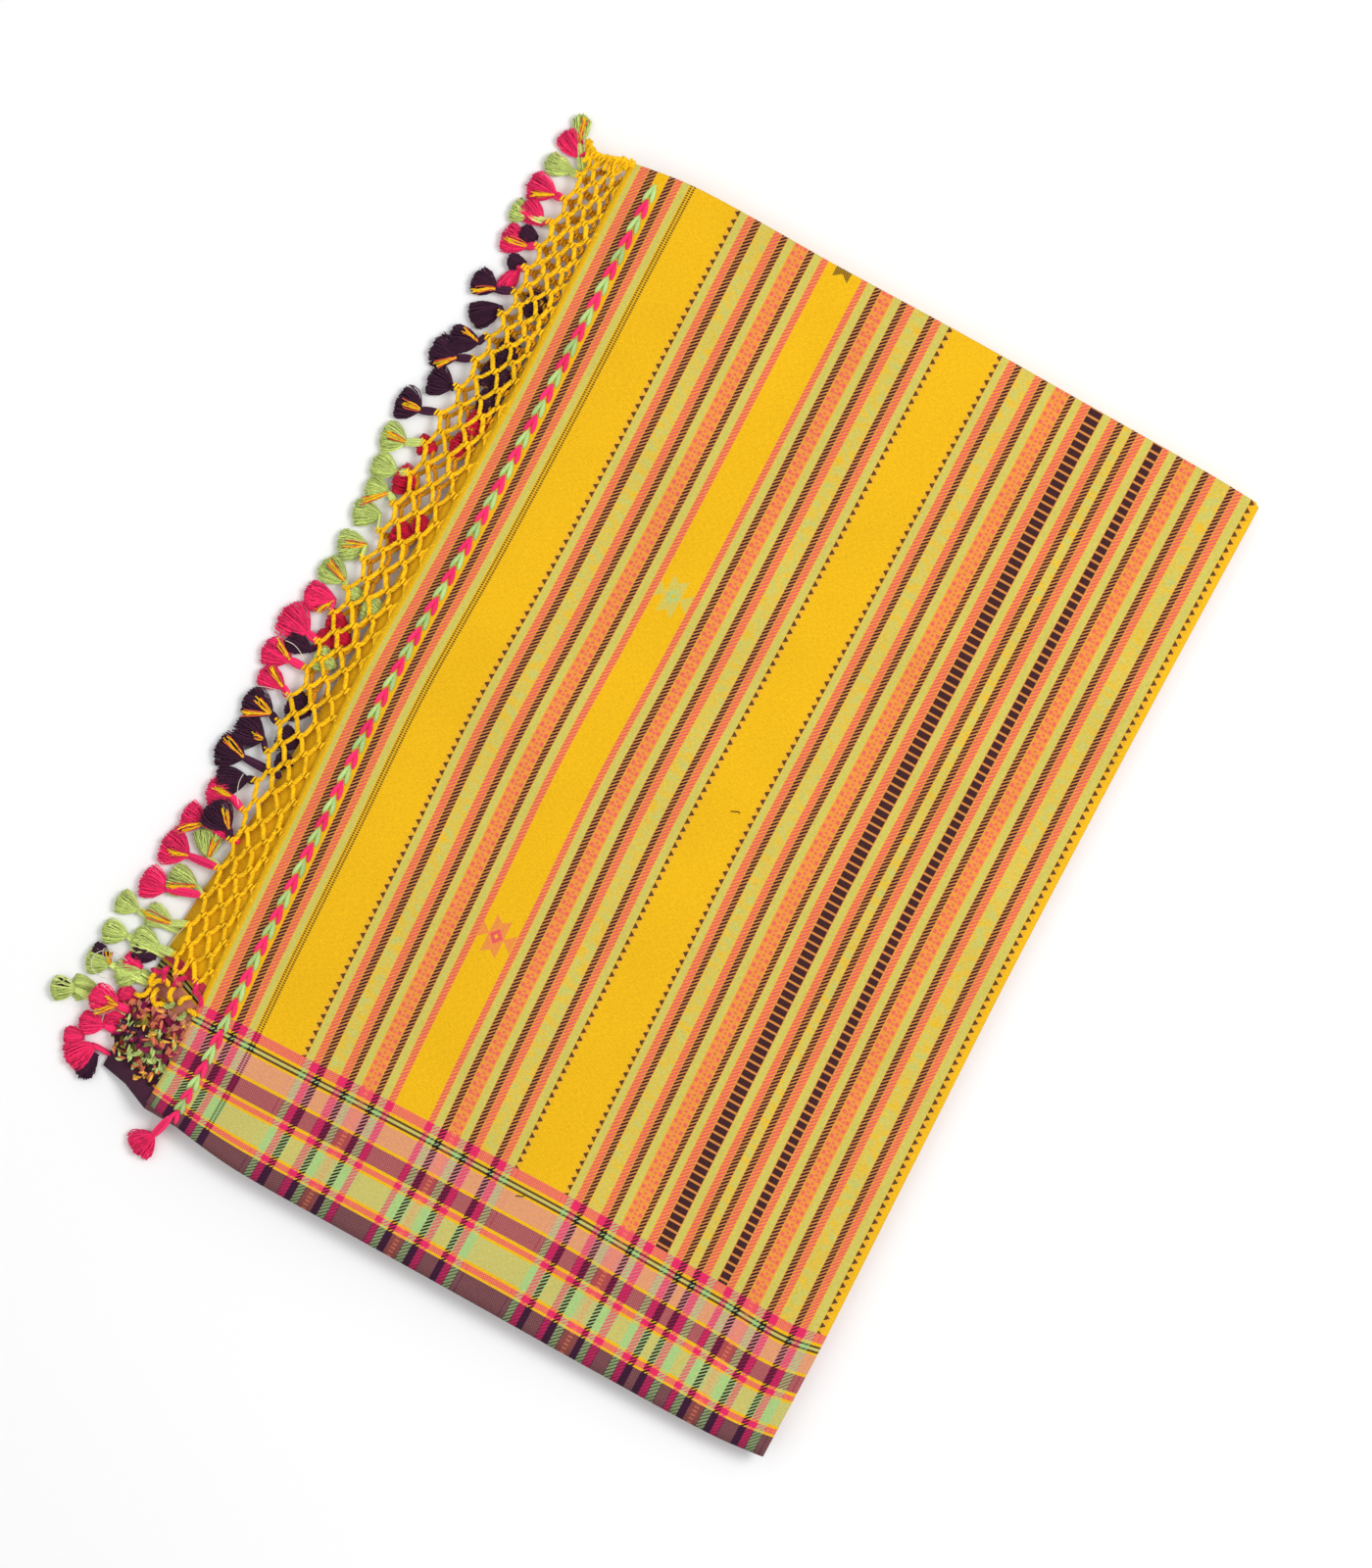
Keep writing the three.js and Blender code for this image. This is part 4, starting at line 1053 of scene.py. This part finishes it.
# %% The border's knots
OPEN_CORDS = [
    ((-409, 79), (-402, 84), "pink"), ((-401.5, 83), (-398, 76), "pink"),
    ((-390, 83.5), (-394, 76), "pink"), ((-386.5, 85), (-383, 79), "pink"),
    ((-383.5, 79.5), (-376, 73), "pink"), ((-406, 78), (-405, 71), "golden"),
    ((-402, 77), (-397, 75.5), "golden"), ((-401.5, 71), (-398, 63), "golden"),
    ((-393.5, 76), (-391.5, 69), "golden"), ((-387, 69.5), (-383, 75.5), "golden"),
    ((-411, 63), (-405, 69.5), "golden"), ((-398.5, 62.5), (-394, 65), "golden"),
    ((-405, 71), (-401, 76), "golden"), ((-381, 69), (-376.5, 68), "golden"),
    ((-394, 65.5), (-390, 68.5), "sage"), ((-384.5, 62.5), (-382, 67), "sage"),
    ((-396, 84), (-391, 79), "rust"),
]
CLOSE_ROWS = [
    (62.5, "dusty maroon straw"), (58, "rust maroon dusty"), (53.5, "maroon olive rust"),
    (49, "straw dark sage"), (44.5, "maroon purple rust"), (40, "dark sage maroon"),
    (35.5, "sage dark olive"), (31, "sage rust dark"), (27, "rust straw dark"),
]
CLOSE_STEP = 4.4
CLOSE_COLUMNS = 7


def open_cords(yarns):
    for start, end, name in OPEN_CORDS:
        start, end = (np.array([*place, float(top_cord_height(place[0])) + 0.2]) for place in (start, end))
        ahead = end - start
        bend = np.array([-ahead[1], ahead[0], 0]) * rng.choice([-0.9, 0.9]) + (0, 0, 3)
        path = bow(start, end, ahead + bend, ahead - bend, 15)
        path[:, 2] -= 2.4 * np.linspace(-1, 1, 15) ** 6
        colours = [shaded(name, 0.85, 1.1) for _ in range(3)]
        yarns.twist(path, 0.8, 6.0, colours, rng.uniform(0, TAU))


def close_knots(yarns):
    for line, (y, names) in enumerate(CLOSE_ROWS):
        names = names.split()
        right = -376.5 - (2 if y < 30 else 0)
        for column in range(CLOSE_COLUMNS + (1 if 35 < y < 60 else 0)):
            x = right - CLOSE_STEP * (column + (line % 2) / 2) + rng.uniform(-1.2, 1.2)
            here = y + rng.uniform(-1.2, 1.2)
            if here < 25 + (x + 380) * -0.2:
                continue
            z = float(top_cord_height(x)) - 0.4 + rng.uniform(-0.6, 0.3)
            slant = (1 if (line + column) % 2 else -1) * rng.uniform(1.2, 3.4)
            half = rng.uniform(2.0, 3.2)
            start, end = (x + half, here - slant, z - 2), (x - half, here + slant, z - 2)
            path = bow(start, end, (-half, 0, 7), (-half, 0, -7), 13)
            colours = [shaded(names[rng.integers(3)], 0.8, 1.4) for _ in range(3)]
            yarns.twist(path, rng.uniform(0.7, 0.95), 7.0, colours, rng.uniform(0, TAU))
            if rng.random() < 0.6:
                knot = np.array([x + rng.uniform(-1.2, 1.2), here + rng.uniform(-1.4, 1.4), z - 0.5])
                lay_knot(yarns, knot, names[rng.integers(3)], 2.2, 1.7, rng.uniform(0.55, 0.85))


close_yarns = Yarns()
open_cords(close_yarns)
close_knots(close_yarns)
close_piece = close_yarns.piece("border_knots", yarn)

# %% [markdown]
# ## The line of leaf stitches
# A thick double yarn is drawn through the cloth beside its end in pairs of slanting stitches, so that each
# pair looks like a leaf with its point in the notch of the next. Pink and pale green take turns.

# %% The line of leaf stitches
BRAID_PLACE = -363.7
LEAF_PITCH = 9.2
LEAF_REACH = 11.0
LEAF_HALF = 2.3
LEAF_THICK = np.array([0.4, 1.0, 1.35, 1.45, 1.4, 1.2, 0.95, 0.6, 0.25])


def on_top(x, y):
    """Height of the top cloth's upper face."""
    return TOP_LEVEL - sink(x, TOP_SLOPE) + ripple(x, y) + SHEET_THICK / 2


braid_yarns = Yarns()
leaf = 0
across = 1.5
while across + LEAF_REACH < HALF_WIDTH:
    colour = linear("rose" if leaf % 2 == 0 else "leaf")
    for side in (-1, 1):
        t = np.linspace(0, 1, len(LEAF_THICK))
        u = BRAID_PLACE + side * LEAF_HALF * (1 - t) ** 0.85
        v = across + LEAF_REACH * t
        x, y = cloth_place(u, v)
        path = np.stack([x, y, on_top(x, y) + 0.1 + 0.3 * np.sin(math.pi * t)], 1)
        braid_yarns.lay(path[None], LEAF_THICK, colour, sides=7)
    across += LEAF_PITCH
    leaf += 1
braid = braid_yarns.piece("leaf_stitches", yarn)
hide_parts("leaf_braid")
print("leaves:", leaf)

# %% [markdown]
# ## Stray threads
# A few loose ends lie on the cloth, as handwoven cotton has: two short dark slubs and one golden end.

# %% Stray threads
STRAYS = [
    ([(-172.5, 298), (-170.5, 298.8), (-168.5, 299.6), (-167.6, 299.2)], "dark"),
    ([(-179.5, 62), (-178, 63), (-176.6, 63.2), (-175.4, 64.4)], "dark"),
    ([(-383, 431.5), (-379, 432.4), (-374, 432)], "golden"),
]


def smooth_path(points, height, stations):
    """A soft curve through a few places, at one height."""
    points = np.array(points, float)
    run = np.concatenate([[0], np.cumsum(np.hypot(*np.diff(points, axis=0).T))])
    at = np.linspace(0, run[-1], stations)
    x, y = (follow(list(zip(run, points[:, k])), at) for k in range(2))
    z = height + 0.5 * np.sin(np.linspace(0, 3 * math.pi, stations))
    return np.stack([x, y, z], 1)


stray_yarns = Yarns()
for places, name in STRAYS:
    path = smooth_path(places, 0, 12)
    path[:, 2] = on_top(path[:, 0], path[:, 1]) + 0.2
    stray_yarns.lay(path[None], 0.28, linear(name))
strays = stray_yarns.piece("stray_threads", yarn)

# %% [markdown]
# ## The tassels
# Each tassel is a folded hank of yarn looped through the net, tied below the loop and cut straight, so its
# threads fan out. They are laid round by the golden angle, which fills the fan evenly. The solids say which
# tassels lie on others, so each one's height is read from its own solid.

# %% The tassels
TASSELS = [
    (-413.5, 577, 150, 15, 13, "pink"), (-414.5, 563.5, 185, 14, 11, "mint"),
    (-417, 548.5, 182, 15, 15, "pink"), (-415, 534, 160, 14, 12, "pink"),
    (-417, 517, 182, 14, 16, "pink"), (-410, 497, 260, 15, 8, "pink"),
    (-421, 489, 180, 13, 13, "purple"), (-413, 475.5, 225, 17, 14, "purple"),
    (-416.5, 457, 200, 15, 15, "purple"), (-423, 446, 185, 14, 16, "purple"),
    (-417.5, 431, 182, 13, 17, "purple"), (-427, 412.5, 180, 13, 18, "purple"),
    (-426, 392.5, 188, 13, 15, "mint"), (-423, 376.5, 182, 13, 14, "mint"),
    (-420, 350, 200, 14, 14, "mint"), (-419, 331, 208, 15, 15, "mint"),
    (-421, 313.5, 168, 15, 14, "mint"), (-421.5, 298, 195, 16, 14, "pink"),
    (-427, 280, 168, 17, 18, "pink"), (-428, 260.5, 182, 15, 15, "pink"),
    (-424, 247, 172, 14, 13, "pink"), (-424, 231.5, 172, 16, 15, "purple"),
    (-421.5, 216, 182, 16, 19, "purple"), (-418, 189, 212, 16, 16, "purple"),
    (-421, 180, 188, 13, 14, "pink"), (-414.5, 168, 158, 16, 16, "purple"),
    (-414, 152.5, 118, 15, 15, "mint"), (-428, 142, 180, 15, 20, "pink"),
    (-416.5, 128, 190, 15, 16, "mint"), (-429.5, 120, 184, 14, 16, "pink"),
    (-419, 105, 182, 14, 13, "mint"), (-419, 90, 186, 14, 15, "mint"), (-419.5, 71, 215, 14, 14, "mint"),
    (-424, 53, 184, 15, 13, "pink"), (-422.5, 21, 240, 16, 16, "pink"),
    (-413.5, 586.5, 112, 14, 8, "mint"), (-422, 532, 180, 9, 12, "mint"),
    (-421, 364, 190, 12, 12, "mint"), (-420, 270, 182, 13, 11, "purple"),
    (-426, 202, 185, 15, 17, "purple"), (-427, 161, 182, 12, 16, "pink"),
    (-437, 103.5, 178, 12, 13, "mint"), (-436, 87, 192, 13, 13, "mint"), (-437, 69, 196, 12, 13, "mint"),
    (-447, 47.5, 205, 12, 12, "mint"), (-437, 53, 205, 13, 13, "mint"),
    (-424.5, 38, 200, 13, 11, "pink"),
]
TOP_TASSELS = 35
SLOTS = {"pink": "pink_tassel", "purple": "purple_tassel", "mint": "green_tassel"}
SELVEDGE_TASSEL = (-370.5, -6, 245, 13, 15, "pink")
SELVEDGE_ROOT = (-363, 14, 17.4)
UPPER_NET_FROM = 80
LOWER_NET_FROM = 240
TIE_LEVEL = 2.9
FIRST_LEVEL = 5.5
LEVEL_STEP = 5.8
THREADS = 130
THREAD_RADIUS = 0.4
LOOP_STRANDS = 7
LOOP_THREAD = 0.82
TIE_RADIUS = 1.3
TIE_TURNS = 2.2
STREAK_STRANDS = 6
GOLDEN = math.pi * (3 - math.sqrt(5))
SHADES = {"pink": "rose", "purple": "purple", "mint": "mint"}


def lay_tassel(yarns, row, height, root, loop_radius=2.7):
    """A loop from the net, a tie and a fan of cut threads. Gives the place of the tie, at that height."""
    x, y, points, length, width, colour = row
    heading = math.radians(points)
    forward = np.array([math.cos(heading), math.sin(heading), 0])
    side = np.array([-forward[1], forward[0], 0])
    up = np.array([0, 0, 1.0])
    tie = np.array([x, y, 0]) - forward * length / 2 + up * height
    k = np.arange(THREADS)
    reach = np.sqrt((k + 0.5) / THREADS)
    a = reach * np.cos(k * GOLDEN)
    b = reach * np.sin(k * GOLDEN)
    locks = a * 3.2 + rng.uniform(0, TAU)
    a = a + 0.07 * np.sin(locks * 2.6)
    t = np.linspace(0, 1, 8)
    open_wide = 1 - (1 - t) ** 2.3
    crimp = rng.normal(0, 0.36, (THREADS, 8)) * t
    lift = rng.normal(0, 0.28, (THREADS, 8)) * t
    cut = length * (1.04 - 0.2 * a**2 + rng.normal(0, 0.03, THREADS))
    across = a[:, None] * (1.1 + (width * 0.57 - 1.1) * open_wide) + crimp
    thick = np.minimum(2.5, height - 0.4)
    rise = b[:, None] * (1.0 + (thick - 1.0) * np.sin(t * math.pi / 2)) + lift
    ahead = cut[:, None] * t
    paths = (
        tie + ahead[..., None] * forward + across[..., None] * side
        + np.maximum(rise, 0.45 - height)[..., None] * up)
    base = np.array(linear(SHADES.get(colour, colour)))
    shades = np.ones((THREADS, 4))
    lock_shade = 1 + 0.1 * np.sin(locks * 2.6 + 1)
    shades[:, :3] = (rng.uniform(0.85, 1.35, THREADS) * lock_shade)[:, None]
    yarns.lay(paths, THREAD_RADIUS, base * shades, sides=3)
    if root is not None:
        root = np.asarray(root, float)
        for strand in range(LOOP_STRANDS):
            angle = strand * TAU / LOOP_STRANDS
            spread = loop_radius * 0.55
            offset = spread * (math.cos(angle) * side + math.sin(angle) * up * 0.8)
            pull = forward * 3
            path = bow(root, tie + forward * 0.6, pull, pull, 11)
            swell = np.sin(np.linspace(0, math.pi, 11)) ** 0.7
            path = path + (0.25 + 0.95 * swell)[:, None] * offset
            path[:, 2] = np.maximum(path[:, 2], 0.9)
            yarns.lay(path[None], LOOP_THREAD, base * shades[strand], sides=5)
    t = np.linspace(0, 1, 24)
    angle = TAU * TIE_TURNS * t
    ring = (
        tie + forward * (-0.6 + 1.3 * t)[:, None]
        + TIE_RADIUS * (np.cos(angle)[:, None] * side + np.sin(angle)[:, None] * up))
    ring[:, 2] = np.maximum(ring[:, 2], 0.5)
    yarns.lay(ring[None], 0.42, base * np.array([0.8, 0.8, 0.8, 1]))
    return tie


def solid_level(node):
    """Height of a tassel's tie, from its solid: on the table or on one or more tassels."""
    low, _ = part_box(node)
    level = 0 if low.z < 0.4 * MM else round((low.z / MM - FIRST_LEVEL) / LEVEL_STEP)
    return TIE_LEVEL + LEVEL_STEP * level


def nearest_knot(y, knots):
    return min(knots, key=lambda knot: abs(knot[1] - y))


# Warp ends left long, which lie on the tassels
STREAKS = [
    (-422, 484), (-417, 461), (-422, 440), (-427, 412), (-427, 393), (-423, 357), (-420, 331), (-423, 316),
    (-418, 293), (-428, 265), (-424, 250), (-424, 233), (-427, 225), (-417, 216), (-428, 206), (-421, 181),
    (-412, 171), (-411, 153), (-429, 154), (-427, 140), (-419, 124), (-413, 589), (-417, 545), (-419, 516),
    (-424, 104), (-423, 47), (-420, 54), (-432, 72),
]
# Tassels of the layers below, seen through the net or past it; the pinks among them get a darker pink that
# paints the shade they lie in
TUCKED = [
    (-390, 491, 190, 13, 14, "purple"), (-391, 462, 185, 13, 14, "purple"),
    (-386, 446, 180, 12, 12, "purple"), (-394, 447, 180, 12, 14, "purple"),
    (-389, 433, 175, 12, 13, "purple"), (-388, 420, 178, 13, 14, "pink_in_painted_shade"),
    (-390, 405, 182, 13, 14, "pink_in_painted_shade"), (-408, 397, 190, 10, 11, "pink_in_painted_shade"),
    (-409, 375, 180, 13, 15, "pink_in_painted_shade"), (-397, 348, 185, 12, 13, "pink_in_painted_shade"),
    (-390, 357, 180, 10, 10, "pink_in_painted_shade"), (-392, 305, 180, 12, 13, "mint"),
    (-404, 308, 180, 10, 8, "mint"), (-407, 290, 190, 11, 12, "pink_in_painted_shade"),
    (-408, 279, 180, 11, 10, "pink_in_painted_shade"), (-400, 284, 175, 9, 9, "pink_in_painted_shade"),
    (-403, 269, 180, 12, 13, "mint"), (-404, 240, 180, 13, 15, "purple"),
    (-401, 222, 180, 12, 13, "purple"), (-397, 211, 180, 10, 10, "purple"),
    (-412, 523, 190, 9, 9, "purple"), (-411, 507, 200, 9, 8, "purple"), (-430, 27, 205, 10, 10, "pink"),
    (-414, 60, 190, 11, 10, "pink"), (-415, 47, 200, 11, 10, "pink"), (-416, 17, 262, 14, 9, "purple"),
    (-438, 74, 190, 9, 9, "purple"), (-447, 49, 190, 9, 7, "purple"), (-420, 77, 175, 10, 11, "pink"),
    (-417, 84, 190, 12, 10, "purple"),
]
# White sewing threads caught in the tassels: places along each
WHITE_THREADS = [
    [(-423, 77), (-430, 78), (-436, 76.5), (-440, 72), (-439, 66), (-433, 63), (-425, 64)],
    [(-424, 74), (-430, 75), (-435, 73), (-437, 77), (-433, 78.5)],
    [(-415, 53), (-419, 51.5), (-421, 48), (-420, 42)],
    [(-430, 48), (-425, 46), (-420, 47), (-417, 51)],
    [(-414, 195), (-414, 190), (-412, 184), (-408, 178)],
    [(-427, 269), (-422, 269), (-417, 267), (-413, 264)],
    [(-404, 108), (-406, 100), (-407, 92)],
    [(-430, 240), (-420, 243), (-410, 243)],
]


tassel_yarns = {colour: Yarns() for colour in SLOTS}
ties = []
for number, row in enumerate(TASSELS, 1):
    x, y, points, length, _, colour = row
    height = solid_level(f"tassel_{number:02d}")
    tie_y = y - math.sin(math.radians(points)) * length / 2
    if number <= TOP_TASSELS and tie_y > UPPER_NET_FROM:
        root = nearest_knot(tie_y, top_knots[-1])
    elif tie_y > LOWER_NET_FROM:
        root = nearest_knot(tie_y, under_knots[-1])
    else:
        edge = max(float(under_edge_x(tie_y)), x + length / 2 - 0.5)
        root = np.array([edge, tie_y, UNDER_LEVEL - float(sink(edge, UNDER_SLOPE))])
    ties.append(lay_tassel(tassel_yarns[colour], row, height, root))
for row in TUCKED:
    height = max(2.6, float(top_cord_height(row[0])) - 3.6)
    # The darker pink of the tucked tassels is painted shade; they are pink tassels and join that piece.
    slot = {"pink_in_painted_shade": "pink"}.get(row[5], row[5])
    lay_tassel(tassel_yarns[slot], row, height, None)
for x, y in STREAKS:
    number = min(range(len(ties)), key=lambda n: math.dist((x, y), TASSELS[n][:2]))
    tie = ties[number]
    aim = np.array([x, y, tie[2]]) - tie
    reach = max(6.0, float(np.linalg.norm(aim)) + 3.5)
    aim = unit(aim)
    across = np.array([-aim[1], aim[0], 0])
    for strand in range(STREAK_STRANDS):
        spread = (strand - 2.5) * 0.5
        stray = across * rng.normal(0, 2.2)
        start = tie + across * spread * 0.4 + np.array([0, 0, 1.3])
        end = tie + aim * (reach + rng.uniform(-2.5, 1.5)) + across * spread * 1.5 + np.array([0, 0, 2.5])
        path = bow(start, end, aim * 4 + stray + (0, 0, 5), aim * 4 - stray - (0, 0, 1.5), 11)
        path[1:-1] += rng.normal(0, 0.12, (9, 3))
        name = "golden" if strand % 5 else "coral"
        tassel_yarns[TASSELS[number][5]].lay(path[None], 0.4, shaded(name, 0.8, 1.05))
for places in WHITE_THREADS:
    path = smooth_path(places, 8.5 if places[0][0] > -431 else 7.5, 5 * len(places))
    tassel_yarns["pink"].lay(path[None], 0.22, shaded("white"), sides=4)
lay_tassel(tassel_yarns["pink"], SELVEDGE_TASSEL, TIE_LEVEL, SELVEDGE_ROOT, 2.6)

for colour, yarns in tassel_yarns.items():
    made = yarns.piece(f"{colour}_tassels", yarn)
    nodes = [f"tassel_{n:02d}" for n, row in enumerate(TASSELS, 1) if row[5] == colour]
    if colour == "pink":
        nodes.append("selvedge_tassel")
    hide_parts(*nodes)
